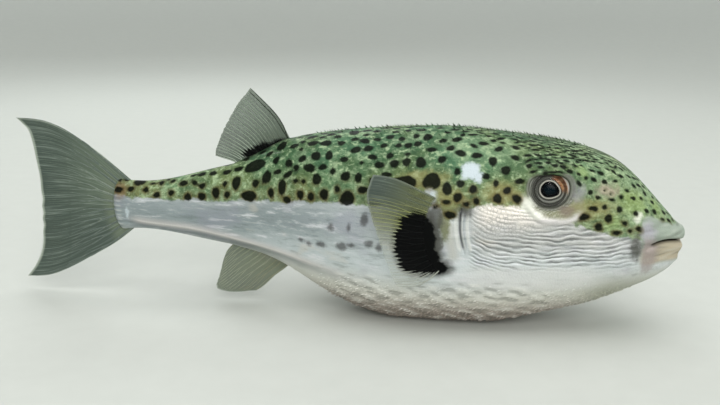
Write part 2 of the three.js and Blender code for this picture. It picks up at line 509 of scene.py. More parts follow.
@dataclass(frozen=True)
class Relief:
    """The folds, grooves and swellings that the skin adds to the body's plain shape.

    Attributes:
        eye: The eyes' site.
        cleft: Height of the mouth's cleft along the body.
        lip_top: How far the upper lip's pale skin reaches above the cleft.
        lip_foot: How far the lower lip's reaches below it.
        corner: Where the cleft ends behind.
        nostril: The middle of a nostril pair, for the left side.
        gill_top: Upper end of the gill slit, as x and z.
        gill_foot: Lower end of the gill slit.
        overbite: How far the upper lip stands over the lower one.
        fold: Height of the ridge low on the flank.
        seam: Height of the fine line under the dorsal fin.
        deep: How far from the eye's plane the skin is still drawn towards the lids.
        floor: Least height of the skin over the floor.
    """

    eye: EyeSite = EyeSite()
    cleft: tuple[Point2, ...] = ((100, 55.4), (119, 55.8), (126, 57.6), (134, 57.2), (143, 55.6))
    lip_top: tuple[Point2, ...] = ((110, 8), (114, 16.5), (119, 17), (125, 12.5), (131, 10), (143, 9))
    lip_foot: tuple[Point2, ...] = ((110, 6), (116, 11), (124, 13), (143, 13))
    corner: float = 119.5
    nostril: Point3 = (93.6, 28.6, 87.2)
    gill_top: Point2 = (14.0, 79.0)
    gill_foot: Point2 = (15.8, 54.0)
    overbite: float = 2.8
    fold: tuple[Point2, ...] = (
        (-205, 54), (-192, 52.6), (-156, 50.3), (-120, 44.4), (-87, 38.8), (-60, 33), (-20, 27),
    )
    seam: tuple[Point2, ...] = (
        (-165, 83.6), (-156, 86.2), (-141, 89.6), (-119, 95.2), (-102, 98.8), (-88, 102),
    )
    deep: float = 16.0
    floor: float = 0.03

    def gather(self, grid: SkinGrid) -> None:
        """Draw the grid's points together along the lids and round the nostrils.

        Args:
            grid: The plain grid.
        """
        for side in Side:
            place = self.eye.local(grid.points, side)
            near = (np.abs(place[..., 2]) < self.deep)[..., None]
            radius = self.eye.radius(place)
            pull = (1 - radius) * 0.5 * bell(radius, 1.0, 0.42)
            shift = place * (pull / np.maximum(radius, 0.05))[..., None]
            shift[..., 2] = 0
            grid.points += np.where(near, shift, 0) @ self.eye.axes(side)
            away = grid.points - side.mirror * self.nostril
            grid.points -= 0.42 * away * bell(np.linalg.norm(away, axis=-1), 0, 5.5)[..., None]
        height, _ = self.cleft_distance(grid.points)
        grid.points[..., 0] -= self.overbite * rise(7.0, -1.0, height) * rise(122, 140, grid.points[..., 0])
        grid.measure()

    def cleft_distance(self, points: Array) -> tuple[Array, Array]:
        """Heights of points over the mouth's cleft, and distances from its nearest part."""
        height = points[..., 2] - Curve(self.cleft)(points[..., 0])
        return height, np.hypot(height, np.maximum(0, self.corner - points[..., 0]))

    def mouth(self, points: Array, marks: Marks) -> Array:
        """Form the lips round a closed cleft.

        Args:
            points: The skin's points.
            marks: The finish's fields, which this adds to.

        Returns:
            The rise at each point.
        """
        x = points[..., 0]
        height, distance = self.cleft_distance(points)
        inside = rise(self.corner - 0.5, self.corner + 4, x)
        cut = bell(height, 0, 0.85) * inside
        front = 1 - 0.7 * rise(137.5, 143, x)
        lips = bell(distance, 3.6, 2.3) * rise(112, 124, x) * front
        rim = bell(distance, 9.0, 1.8) * rise(104, 120, x)
        upper = rise(-0.8, 1.2, Curve(self.lip_top)(x) - height) * rise(112.0, 115.5, x)
        lower = rise(-1.5, 2.5, Curve(self.lip_foot)(x) + height) * rise(110.0, 118, x)
        marks["lip"] = np.where(height > 0, upper, lower)
        marks["lower"] = rise(-0.2, 0.6, -height) * marks["lip"]
        # painted shade in the closed cleft
        marks.most("groove_shade", cut * 1.1)
        creases = Ripple((17, 15, 2.9), 41, 14)(points)
        # painted light and shade on the lips' creases
        marks.add("crest", 0.6 * creases * marks["lip"])
        corner = bell(np.hypot(height, x - self.corner + 1.5), 0, 2.4)
        marks["shade"] = 0.9 * bell(np.hypot(height * 0.8, (x - self.corner) * 0.6), 0, 4.0)
        return (
            -4.2 * cut + 0.95 * lips - 0.5 * rim - 0.9 * corner
            + 0.16 * creases * marks["lip"] * (1 - cut) * (0.4 + 0.6 * front)
        )

    def cheeks(self, points: Array, marks: Marks) -> Array:
        """Run fine wavy wrinkles along the silver cheeks.

        Args:
            points: The skin's points.
            marks: The finish's fields, which this adds to.

        Returns:
            The rise at each point.
        """
        x, y, z = folded(points)
        area = within(x, 17, 24, 106, 116) * rise(14, 24, y)
        area = area * within(z, 40, 49, 77, 84)
        for side in Side:
            place = self.eye.local(points, side)
            outside = rise(0.05, 0.21, self.eye.radius(place) - self.eye.bow(place))
            area = area * np.maximum(outside, place[..., 2] < -25)
        warp = 0.9 * Ripple((26, 60, 16), 11)(points) + 0.4 * Ripple((9, 30, 9), 12)(points)
        sweep = 0.0075 * np.maximum(0, 52 - x) ** 2 + 0.0016 * np.maximum(0, x - 78) ** 2
        marks["wrinkle"] = (z + warp - sweep) / 2.5
        marks["netted"] = area * (rise(64, 46, x) + rise(94, 104, x)) * rise(58, 66, z)
        patchy = np.clip(0.85 + 0.5 * Ripple((14, 40, 9), 14)(points), 0.2, 1.25)
        marks["wrinkled"] = area * patchy * (1 - 0.6 * marks["netted"])
        return 0.22 * np.cos(2 * np.pi * marks["wrinkle"]) * marks["wrinkled"]

    def gills(self, points: Array, marks: Marks) -> Array:
        """Cut the gill slit, with the flap before it and the swelling that the fin grows from.

        Args:
            points: The skin's points.
            marks: The finish's fields, which this adds to.

        Returns:
            The rise at each point.
        """
        x, y, z = folded(points)
        (top_x, top_z), (foot_x, foot_z) = self.gill_top, self.gill_foot
        share = (top_z - z) / (top_z - foot_z)
        bow = 1.6 * np.sin(np.pi * np.clip(share, 0, 1))
        behind = x - (top_x + (foot_x - top_x) * share) + bow
        outer = rise(20, 30, y)
        span = within(share, -0.06, 0.1, 0.9, 1.1) * outer
        wide_span = within(share, -0.25, 0.15, 0.85, 1.3) * outer
        slit = bell(behind, 0, 0.85) * span
        pleats = bell(behind, 2.2, 0.6) + 0.4 * bell(behind, 5.4, 0.5)
        # painted shade in the slit and its pleats
        marks.most("groove_shade", 0.78 * slit)
        marks.most("groove_shade", 0.5 * pleats * span)
        # painted highlights on the ridges beside the slit and along the flap's edge
        light = 1.6 * bell(behind, 4.0, 0.9) + 1.2 * bell(behind, 1.1, 0.5) + 1.5 * bell(behind, -2.0, 1.2)
        marks.add("crest", light * span * rise(80, 72, z))
        flap = bell(behind, -6.0, 3.6) * within(z, 46, 51, 68, 73) * outer
        marks["flap"] = flap
        pad = bell(np.hypot((x + 0.5) / 7.5, (z - 60.5) / 21), 0, 0.9) * outer
        return (
            -1.8 * slit + 0.8 * bell(behind, 1.6, 0.9) * wide_span
            - 0.4 * pleats * span + 0.45 * bell(behind, 3.9, 0.7) * span
            + 0.6 * flap + 1.3 * pad
        )

    def flanks(self, points: Array, marks: Marks) -> Array:
        """Add the ridge low on the flank, the lines above it, the vent and the belly's soft sag.

        Args:
            points: The skin's points.
            marks: The finish's fields, which this adds to.

        Returns:
            The rise at each point.
        """
        x, y, z = folded(points)
        height = z - Curve(self.fold)(x)
        strength = within(x, -204, -190, -92, -40) * rise(2.5, 6, y)
        ridge = bell(height, 0.8, 2.5) * strength
        marks["fold"] = ridge
        shade = bell(height, -4.0, 2.6) * strength
        marks.most("shade", shade)
        # a painted highlight along the ridge, above the painted shade under it
        marks.add("crest", 0.9 * bell(height, 1.0, 0.8) * strength)
        lateral = bell(z - 71.5 - 0.05 * (x + 150), 0, 0.8) * within(x, -200, -180, 0, 14) * rise(3, 8, y)
        folds = Ripple((10, 8, 3.8), 22, 12)(points) * within(x, -76, -50, 52, 80)
        folds = folds * within(z, 1.5, 5, 26, 40)
        # painted light and shade on the belly's folds
        marks.add("crest", 1.5 * folds)
        soft = Ripple((60, 50, 34), 21)(points) * within(x, -200, -120, 90, 120)
        over = z - Curve(self.seam)(x)
        run = within(x, -166, -156, -98, -90) * rise(3, 5, y)
        line = bell(over, 0, 0.65) * run
        # painted shade in the fine line under the dorsal fin and a painted highlight on the ridge above it
        marks.most("groove_shade", 0.4 * line)
        marks.add("crest", 0.6 * bell(over, 1.2, 0.5) * run)
        vent = np.hypot((x + 91) / 4.0, y / 2.6) + 9 * rise(34, 50, z)
        # painted shade in the vent
        marks.most("groove_shade", 0.7 * bell(vent, 0, 0.45))
        return (
            0.4 * folds + 0.95 * ridge - 0.55 * shade - 0.12 * lateral + 0.35 * soft
            + 0.8 * bell(vent, 1.15, 0.45) - 1.0 * bell(vent, 0, 0.5)
            - 0.45 * line + 0.4 * bell(over, 1.5, 0.9) * run
        )

    def fin_roots(self, points: Array, marks: Marks) -> Array:
        """Raise low mounds that the dorsal, anal and tail fins grow from.

        Args:
            points: The skin's points.
            marks: The finish's fields, which this adds to.

        Returns:
            The rise at each point.
        """
        x, y, z = folded(points)
        upper = rise(84, 90, z) * within(x, -132, -122, -97, -90) * bell(y, 0, 3.6)
        lower = (1 - rise(42, 48, z)) * within(x, -134, -126, -100, -93) * bell(y, 0, 3.2)
        marks["root"] = upper * rise(-128, -122, x)
        tail = 1 - rise(-207, -198, x)
        feet = tail * np.abs(np.cos(np.pi * (z - 62) / 3.1))
        # painted light and shade on the ridges where the tail fin starts
        marks.add("crest", (2 * feet - 1) * tail * 0.7)
        return 1.3 * upper + 1.2 * lower + 0.45 * feet

    def nostrils(self, points: Array, marks: Marks) -> Array:
        """Open two small holes on each side, each in a low rim.

        Args:
            points: The skin's points.
            marks: The finish's fields, which this adds to.

        Returns:
            The rise at each point.
        """
        total = np.zeros(points.shape[:-1])
        marks["nostril"] = np.zeros(points.shape[:-1])
        for side in Side:
            centre = side.mirror * self.nostril
            for offset in ((1.7, 0, -0.9), (-1.8, 0, 1.0)):
                away = np.linalg.norm(points - centre - np.array(offset), axis=-1)
                total += 0.75 * bell(away, 1.75, 0.65) - 1.9 * bell(away, 0, 0.85)
                # painted shade in the holes
                marks.most("groove_shade", bell(away, 0, 0.75))
                marks.most("nostril", bell(away, 1.7, 0.9))
        return total

    def lids(self, points: Array, marks: Marks) -> Array:
        """Form the sockets, lids, brows and the pouch under each eye.

        Args:
            points: The skin's points.
            marks: The finish's fields, which this adds to.

        Returns:
            How far each point moves, as vectors.
        """
        move = np.zeros_like(points)
        for key in ("lid", "pouch", "eyebag"):
            marks[key] = np.zeros(points.shape[:-1])
        for side in Side:
            place = self.eye.local(points, side)
            radius = self.eye.radius(place)
            near = rise(-18, -12, place[..., 2])
            flat = np.maximum(np.hypot(place[..., 0], place[..., 1]), 0.1)
            forward, upward = place[..., 0] / flat, place[..., 1] / flat
            over, under = rise(0.0, 0.9, upward), rise(0.05, 0.7, -upward)
            hood = rise(0.72, 0.93, upward)
            level = near * (1 - rise(1.1, 2.3, radius))
            socket = 8.0 * (1 - rise(0.8, 0.985, radius))
            rings = bell(radius, 1.12, 0.04) + 0.7 * bell(radius, 1.24, 0.04)
            rim = 0.4 * (bell(radius, 1.05, 0.05) + bell(radius, 1.18, 0.05)) - 0.3 * rings
            brow = 1.1 * over * bell(radius, 1.12, 0.2) + 1.2 * hood * bell(radius, 1.05, 0.14)
            bow = self.eye.bow(place)
            folds = under * rise(1.02, 1.1, radius) * rise(bow - 0.02, bow - 0.14, radius)
            folds = folds * np.cos(2 * np.pi * (radius + 0.03 * np.sin(3 * place[..., 0])) / 0.115)
            crescent = bell(radius, bow + 0.01, 0.17) * under * rise(0.95, 0.74, forward)
            pouch = 1.0 * crescent - 0.4 * bell(radius, bow + 0.22, 0.06) * under + 0.16 * folds
            out = -place[..., 2] * level + near * (rim + brow + pouch - socket)
            move += out[..., None] * self.eye.axes(side)[2]
            ahead = 0.14 * rise(0.3, 0.85, forward)
            ring = near * (1 - rise(1.04 + ahead, 1.17 + ahead, radius)) * (1 - 0.9 * hood)
            bag = under * rise(bow - 0.02, bow - 0.16, radius)
            marks.most("lid", ring)
            marks.most("pouch", near * crescent)
            marks.most("eyebag", near * bag)
            # painted shade in the grooves round the eye and under the pouch, and painted light and shade on
            # the rims and folds
            marks.most("groove_shade", near * (0.35 * rings * (1 - under) + 0.75 * bell(radius, 0.955, 0.03)))
            marks.most("groove_shade", 0.3 * near * under * bell(radius, bow + 0.22, 0.05))
            marks.most("groove_shade", 0.42 * near * under * bell(radius, 1.17, 0.03))
            marks.add("crest", near * (0.9 * folds + (rim + 0.3 * rings) * (1 - hood)))
        return move

    def apply(self, grid: SkinGrid) -> Marks:
        """Shape the skin.

        Args:
            grid: The plain grid, whose points this moves.

        Returns:
            The fields that the finish reads.
        """
        self.gather(grid)
        points = grid.points.copy()
        marks = Marks({key: np.zeros(points.shape[:-1]) for key in ("groove_shade", "crest")})
        features = (self.mouth, self.cheeks, self.gills, self.flanks, self.fin_roots, self.nostrils)
        height = sum(feature(points, marks) for feature in features)
        grid.points = points + height[..., None] * grid.normals + self.lids(points, marks)
        grid.points[..., 2] = np.maximum(grid.points[..., 2], self.floor)
        grid.measure()
        return marks


# ---- spots and other markings


@dataclass(frozen=True)
class Spot:
    """An oval mark on the skin.

    Attributes:
        place: Its middle.
        along: Half its length along the body.
        across: Half its height up the body.
        tilt: Radians that its front end is turned up.
        lobes: Turns the bays of its uneven outline.
    """

    place: Array
    along: float
    across: float
    tilt: float = 0.0
    lobes: float = 0.0


@dataclass(frozen=True)
class Wash:
    """A soft patch of another tone.

    Attributes:
        name: The field that the finish reads.
        colour: Its colour.
        strength: How much of it shows in its middle.
        soft: Distance over which it fades, in millimetres.
        patches: Its ovals as frame points: across, down, width and height.
    """

    name: str
    colour: str
    strength: float
    soft: float
    patches: tuple[Oval, ...]


WASHES = (
    Wash("mint", "A2BA93", 0.22, 10.0, ((486, 150, 84, 26),)),
    Wash("lime", "96AC64", 0.4, 8.0, (
        (583, 172, 16, 12), (634, 204, 30, 22), (655, 206, 16, 12), (612, 224, 24, 14),
    )),
    Wash("straw", "978C58", 0.5, 8.0, (
        (592, 208, 46, 18), (503, 194, 36, 22), (450, 198, 32, 20), (425, 180, 46, 20),
    )),
    Wash("moss", "4B5A33", 0.55, 4.0, ((553, 171, 20, 9), (534, 172, 12, 10), (568, 168, 16, 9))),
    Wash("lavender", "9A96A0", 0.6, 6.0, ((581, 192, 13, 18),)),
    Wash("umber", "85766C", 0.7, 4.0, ((567, 212, 15, 9),)),
    Wash("blush", "A8948A", 0.5, 7.0, ((608, 190, 16, 13),)),
    Wash("olive", "6B6F4A", 0.85, 4.5, ((444, 224, 11, 36), (451, 214, 14, 12))),
    # painted highlights on the left of the pouch under the eye and at the upper lip's corner
    Wash("cream_highlight", "E7E7DC", 0.9, 4.5, ((528, 206, 13, 18), (535, 214, 14, 9), (639, 218, 8, 9))),
    # painted shade at the mouth's corner and at the top of the gill slit, and the grey that fades from the
    # black blotch behind the fin's root
    Wash("smoke", "50514B", 0.88, 6.0, (
        (637, 248, 11, 26), (464, 211, 14, 12), (435, 216, 17, 30), (437, 240, 11, 40),
    )),
    Wash("lilac", "ACA7B4", 0.7, 5.0, ((648, 231, 17, 17),)),
    Wash("rose", "A39795", 0.75, 6.0, ((649, 257, 18, 32),)),
    Wash("tan", "8A6E55", 0.6, 5.0, ((119, 190, 17, 15),)),
)


def blotch_depth(ovals: Iterable[Oval], x: Array, z: Array) -> Array:
    """How deep points lie inside a mark made of ovals.

    Args:
        ovals: Each oval's x, z, half length and half height.
        x: The points' places along the body.
        z: Their heights.

    Returns:
        Values above 0 inside, in millimetres.
    """
    shapes = [
        (1 - np.hypot((x - mid_x) / half_x, (z - mid_z) / half_z)) * math.sqrt(half_x * half_z)
        for mid_x, mid_z, half_x, half_z in ovals
    ]
    return np.maximum.reduce(shapes)


@dataclass
class Markings:
    """Where the skin is green, spotted, pale or dark.

    Places seen from the camera are given as frame points: across, down, width and height.

    Attributes:
        sight: The camera.
        border: Height of the edge between green back and silver side.
        spots: The spots that stand out on the right side.
        faint: Dusky marks on the silver side.
        pale: White patches in the green, and a painted glint where the tail fin starts.
        washes: Soft patches of other tones, some of them painted highlights and painted shade.
        dip: Where the green reaches down behind the gill: its x, depth and width.
        blotch: The ovals of the black blotch behind the fin's root: x, z, half length, half height.
        seed: Picks the scattered spots.
        tries: How many places are tried for them.
        thick: How far from a spot's plane the skin still takes its colour.
    """

    sight: Sight
    border: tuple[Point2, ...] = (
        (-212, 68.5), (-149, 69.8), (-80, 75), (-49, 77), (8, 78.5), (40, 80), (52, 79), (62, 75),
        (75, 70.5), (90, 65.5), (105, 61.5), (112, 60), (143, 58),
    )
    spots: tuple[Oval, ...] = (
        (140, 182, 12, 6), (147, 190, 6, 6), (157, 195, 7, 6), (163, 183, 6, 5), (172, 193, 7, 6),
        (173, 181, 6, 4), (183, 183, 9, 6), (188, 197, 8, 7), (203, 186, 7, 6), (213, 173, 8, 5),
        (215, 193, 8, 12), (226, 172, 9, 5), (227, 195, 7, 7), (225, 184, 6, 6), (237, 183, 10, 13),
        (256, 165.5, 24, 13), (267, 177, 11, 13), (255, 183, 8, 8), (250, 196, 16, 11),
        (271, 193, 7, 10), (277, 161, 7, 9), (288, 163, 8, 9), (283, 187, 9, 16), (296, 181, 6, 5),
        (304, 181, 5, 5), (299, 195, 7, 10), (312, 197, 7, 9), (325, 194, 9, 12), (297, 168, 7, 7),
        (301, 149, 5, 4), (281, 146, 12, 9), (315, 156, 11, 9), (326, 143, 12, 6), (330, 155, 8, 10),
        (341, 143, 8, 5), (345, 160, 9, 6), (355, 133, 12, 5), (334, 172, 6, 8), (317, 179, 10, 11),
        (345, 176, 11, 9), (359, 177, 8, 10), (337, 189, 6, 7), (348, 198, 14, 16), (362, 163, 5, 4),
        (369, 148, 11, 6), (395, 163, 9, 9), (406, 163, 8, 10), (422, 162, 10, 12), (441, 159, 8, 8),
        (390, 156, 8, 6), (407, 154, 6, 4), (398, 146, 7, 5), (391, 137, 8, 5), (402, 139, 7, 5),
        (416, 136, 7, 5), (427, 137, 10, 7), (417, 143, 8, 6), (409, 145, 8, 6), (432, 150, 10, 5),
        (406, 182, 22, 14), (432, 181, 17, 18), (434, 207, 5, 4), (447, 188, 9, 14), (460, 184, 8, 8),
        (458, 198, 9, 9), (446, 202, 8, 5), (467, 204, 6, 5), (457, 171, 6, 8), (473, 190, 8, 8),
        (492, 162, 8, 10), (505, 170, 9, 10), (496, 183, 6, 7), (507, 190, 8, 7), (497, 199, 9, 9),
        (476, 202, 6, 7), (529, 165, 7, 5), (584, 217, 11, 7), (594, 209, 10, 5), (608, 218, 8, 8),
        (598, 227, 7, 8), (616, 233, 8, 5), (620, 210, 7, 6), (636, 214, 6, 5), (633, 198, 6, 4),
        (605, 182, 6, 5), (450, 215, 12, 7), (533, 172, 8, 3), (541, 168, 7, 3), (548, 163, 7, 3),
        (556, 165, 7, 4), (563, 167, 8, 4), (570, 171, 8, 4), (566, 161, 8, 3), (575, 166, 8, 3),
        (545, 174, 6, 3), (578, 174, 6, 3),
    )
    faint: tuple[Oval, ...] = (
        (331, 227, 6, 8), (349, 227, 4, 9), (364, 220, 8, 13), (300, 240, 7, 4), (308, 243, 6, 5),
        (321, 244, 11, 6), (341, 246, 12, 8), (352, 246, 7, 5), (368, 244, 9, 7), (380, 248, 7, 8),
        (449, 217, 12, 7),
    )
    pale: tuple[Oval, ...] = (
        # the last oval is a painted glint where the tail fin starts
        (472, 171, 18, 18), (465, 176, 9, 9), (478, 177, 9, 10), (431, 197, 13, 17), (128, 213, 4, 9),
    )
    washes: tuple[Wash, ...] = WASHES
    dip: Point3 = (7.2, 7.5, 4.4)
    blotch: tuple[Oval, ...] = (
        (-11.5, 58.0, 11.5, 17.5), (-6.5, 48.5, 9.0, 9.0), (0.5, 43.4, 6.5, 4.0),
    )
    seed: int = 7
    tries: int = 14000
    thick: float = 7.0

    def nearest(self, grid: SkinGrid, across: float, down: float) -> tuple[Array, Array]:
        """Find the skin under a frame point.

        Args:
            grid: The skin.
            across: Frame place from the left.
            down: Frame place from the top.

        Returns:
            The skin's place and normal there.
        """
        facing = grid.normals @ self.sight.axes()[2] < -0.05
        seen = self.sight.project(grid.points)
        away = np.hypot(seen[..., 0] - across, seen[..., 1] - down) + np.where(facing, 0, 1e3)
        i = np.unravel_index(np.argmin(away), away.shape)
        return grid.points[i], grid.normals[i]

    def sighted(self, grid: SkinGrid, marks: Iterable[Oval]) -> list[Spot]:
        """Find marks seen from the camera on the skin.

        Args:
            grid: The skin.
            marks: The marks, as frame points.

        Returns:
            Their spots.
        """
        _, up, ahead = self.sight.axes()
        found = []
        for across, down, width, height in marks:
            place, normal = self.nearest(grid, across, down)
            scale = (place - np.array(self.sight.place)) @ ahead / self.sight.focal
            uphill = unit(np.cross(normal, np.array([1.0, 0, 0])))
            lean = max(0.4, abs(float(uphill @ up)))
            lobes = across * 1.7 + down
            found.append(Spot(place, width * scale / 2, height * scale / 2 / lean, 0.0, lobes))
        return found

    def mirrored(self, spots: list[Spot], random: np.random.Generator) -> list[Spot]:
        """Make up the other side's spots: alike, but none the same.

        Args:
            spots: The right side's spots.
            random: The source of chance.

        Returns:
            The left side's spots.
        """
        return [
            Spot(
                s.place * Side.RIGHT.mirror + random.normal(0, 2.2, 3) * np.array([1, 0, 1]),
                s.along * random.uniform(0.8, 1.2), s.across * random.uniform(0.8, 1.2), 0.0,
                random.uniform(0, 6.3),
            )
            for s in spots
        ]

    def scattered(self, grid: SkinGrid, marks: Fields, taken: list[Spot],
                  random: np.random.Generator) -> list[Spot]:
        """Fill the green between the known spots with smaller ones.

        Args:
            grid: The skin.
            marks: The fields over the skin.
            taken: The spots that are there already.
            random: The source of chance.

        Returns:
            The new spots.
        """
        points, normals = grid.points.reshape(-1, 3), grid.normals.reshape(-1, 3)
        open_skin = marks["above"] > 2.0
        for name, most in (
            ("lip", 0.2), ("lid", 0.02), ("pale", -1.5), ("pouch", 0.2), ("nostril", 0.3),
            ("eyebag", 0.05), ("lavender", 0.5), ("olive", 0.5), ("blush", -0.5),
        ):
            open_skin &= marks[name] < most
        choices = np.flatnonzero(open_skin)
        choices = choices[random.permutation(len(choices))][: self.tries]
        centres = [s.place for s in taken]
        sizes = [math.sqrt(s.along * s.across) for s in taken]
        fresh = []
        for i in choices:
            place = points[i]
            top = float(rise(0.55, 0.95, normals[i, 2]))
            head = float(rise(15, 60, place[0]))
            size = (3.0 - 0.9 * top) * (1 - head) + (1.95 - 0.5 * top) * head
            size *= (1 - 0.25 * float(rise(60, 120, place[0]))) * random.uniform(0.72, 1.2)
            size *= 1 - 0.25 * float(rise(-120, -190, np.array(place[0])))
            gap = 1.9 + 0.5 * head - 2.1 * head * top - 0.35 * top
            away = np.linalg.norm(np.array(centres) - place, axis=1) - np.array(sizes)
            if away.min() < size + gap:
                continue
            stretch = random.uniform(1.05, 1.4) + 0.55 * head * top
            lobes = random.uniform(0, 6.3)
            fresh.append(Spot(place, size * stretch, size / stretch, random.normal(0, 0.3), lobes))
            centres.append(place)
            sizes.append(size)
        return fresh

    def distance(self, grid: SkinGrid, spots: Iterable[Spot], far: float = -4.0) -> Array:
        """How deep inside the nearest spot each point lies, in millimetres.

        Args:
            grid: The skin.
            spots: The spots.
            far: The value away from every spot.

        Returns:
            Values that are above 0 inside a spot.
        """
        points, normals = grid.points.reshape(-1, 3), grid.normals.reshape(-1, 3)
        order = np.argsort(points[:, 0])
        sorted_x = points[order, 0]
        depth = np.full(len(points), far)
        for spot in spots:
            reach = max(spot.along, spot.across) - far
            low, high = np.searchsorted(sorted_x, (spot.place[0] - reach, spot.place[0] + reach))
            some = order[low:high]
            away = points[some] - spot.place
            close = np.abs(away).max(axis=1) < reach
            some, away = some[close], away[close]
            if not len(some):
                continue
            normal = normals[some[np.argmin(np.linalg.norm(away, axis=1))]]
            ahead = unit(np.array([1.0, 0, 0]) - normal[0] * normal)
            uphill = np.cross(normal, ahead) * np.sign(np.cross(normal, ahead)[2] + 1e-6)
            level, lift = math.cos(spot.tilt), math.sin(spot.tilt)
            a, b = away @ ahead, away @ uphill
            a, b = a * level + b * lift, b * level - a * lift
            radius = np.hypot(a / spot.along, b / spot.across)
            turn = np.arctan2(b / spot.across, a / spot.along)
            radius = radius * (
                1 + 0.06 * np.sin(2 * turn + spot.lobes) + 0.05 * np.sin(3 * turn + 2.3 * spot.lobes)
                + 0.02 * np.sin(5 * turn + 3.7 * spot.lobes)
            )
            value = (1 - radius) * math.sqrt(spot.along * spot.across)
            value = np.where(np.abs(away @ normal) < self.thick, value, far)
            depth[some] = np.maximum(depth[some], value)
        return depth.reshape(grid.points.shape[:-1])

    def apply(self, grid: SkinGrid, marks: Marks) -> None:
        """Add the markings.

        Args:
            grid: The skin.
            marks: The fields that the finish reads.
        """
        random, flip = np.random.default_rng(self.seed), Side.RIGHT.mirror
        x, y, z = folded(grid.points)
        dip_x, depth, width = self.dip
        marks["above"] = np.clip(z - Curve(self.border)(x) + depth * bell(x, dip_x, width), -30, 30)
        marks["above"] += 0.9 * Ripple((15, 60, 15), 31)(grid.points)
        marks["above"] += 0.5 * Ripple((5, 30, 6), 32)(grid.points)
        for name, patches in (("pale", self.pale), *((w.name, w.patches) for w in self.washes)):
            seen = self.sighted(grid, patches)
            seen += [Spot(s.place * flip, s.along * 0.9, s.across * 1.1, 0.0, 2.0) for s in seen]
            marks[name] = self.distance(grid, seen, -8.0)
        known = self.sighted(grid, self.spots)
        known += self.mirrored(known, random)
        known += self.scattered(grid, {key: mark.ravel() for key, mark in marks.items()}, known, random)
        marks["spots"] = self.distance(grid, known)
        dusky = self.sighted(grid, self.faint)
        marks["faint"] = self.distance(grid, dusky + self.mirrored(dusky, random))
        ragged = 0.5 * Ripple((14, 60, 3.2), 33)(grid.points)
        marks["blotch"] = np.where(y > 20, blotch_depth(self.blotch, x, z) + ragged, -10.0)
        marks["belly"] = 1 - rise(18, 40, z - 0.06 * np.abs(x))
        marks["prickle_belly"] = within(x, -78, -60, 104, 116) * within(z, 1.0, 3.0, 24, 36)
        marks["prickle_back"] = within(x, -84, -70, 74, 92) * rise(0.62, 0.85, grid.normals[..., 2])
        for key in ("prickle_belly", "prickle_back"):
            marks[key][:, :2] = 0
            marks[key][:, -2:] = 0
        LOG.info("markings: %d spots", len(known))


# ---- shader maths


class Nodes:
    """A node tree under construction."""

    def __init__(self, tree: NodeTree) -> None:
        """Keep the tree, emptied."""
        self.tree = tree
        tree.nodes.clear()

    def add(self, kind: str, settings: dict[str, object] | None = None,
            sockets: dict[str | int, object] | None = None) -> Node:
        """Add a node.

        Args:
            kind: The node's type.
            settings: Properties, set first.
            sockets: Values or links of its inputs, by name, identifier or number.

        Returns:
            The node.
        """
        node = self.tree.nodes.new(kind)
        for key, value in (settings or {}).items():
            setattr(node, key, value)
        for key, value in (sockets or {}).items():
            self.feed(self.socket(node, key), value)
        return node

    @staticmethod
    def socket(node: Node, key: str | int) -> NodeSocket:
        """Find one of a node's inputs by its identifier, name or number."""
        known = {socket.identifier: socket for socket in node.inputs}
        return known[key] if key in known else node.inputs[key]

    def feed(self, socket: NodeSocket, value: object) -> None:
        """Link an output to an input, or set the input's value.

        Args:
            socket: The input.
            value: A wrapped or plain output, or a value.
        """
        if isinstance(value, Value):
            value = value.socket
        if isinstance(value, NodeSocket):
            self.tree.links.new(value, socket)
        else:
            socket.default_value = value

    def value(self, kind: str, settings: dict[str, object] | None = None,
              sockets: dict[str | int, object] | None = None, output: str | int = 0) -> "Value":
        """Add a node, as add does, and wrap one of its outputs."""
        return Value(self, self.add(kind, settings, sockets).outputs[output])

    def maths(self, operation: str, *values: object) -> "Value":
        """Add a Math node."""
        return self.value("ShaderNodeMath", {"operation": operation}, dict(enumerate(values)))

    def noise(self, place: "Value", scale: float, detail: float = 3.0, rough: float = 0.55) -> "Value":
        """A noise between about 0 and 1."""
        sockets = {"Vector": place, "Scale": scale, "Detail": detail, "Roughness": rough}
        return self.value("ShaderNodeTexNoise", None, sockets, "Fac")

    def cells(self, place: "Value", scale: float) -> "Value":
        """Distance from the nearest border between scattered cells."""
        sockets = {"Vector": place, "Scale": scale}
        return self.value("ShaderNodeTexVoronoi", {"feature": "DISTANCE_TO_EDGE"}, sockets, "Distance")

    def read(self, name: str, kind: str = "FLOAT") -> "Value":
        """Read one of a mesh's own fields while growing a shape."""
        return self.value("GeometryNodeInputNamedAttribute", {"data_type": kind}, {"Name": name})

    def mix(self, factor: object, first: object, second: object) -> "Value":
        """Mix two colours.

        Args:
            factor: The share of the second.
            first: A colour's code or value.
            second: Another.

        Returns:
            The mixed colour.
        """
        first, second = (paint(c) if isinstance(c, str) else c for c in (first, second))
        sockets = {"Factor_Float": factor, "A_Color": first, "B_Color": second}
        node = self.add("ShaderNodeMix", {"data_type": "RGBA", "clamp_factor": True}, sockets)
        return Value(self, next(o for o in node.outputs if o.identifier == "Result_Color"))

    def coats(self, base: object, *layers: tuple[object, object]) -> "Value":
        """Lay colours over a base, one after the other.

        Args:
            base: The colour underneath, as a code or value.
            *layers: For each colour, how much of it shows and its code or value.

        Returns:
            The colour that shows.
        """
        for share, colour in layers:
            base = self.mix(share, base, colour)
        return base

    def stretch(self, place: "Value", scale: Point3) -> "Value":
        """Scale a place along its axes."""
        sockets = {0: place, 1: scale}
        return self.value("ShaderNodeVectorMath", {"operation": "MULTIPLY"}, sockets)


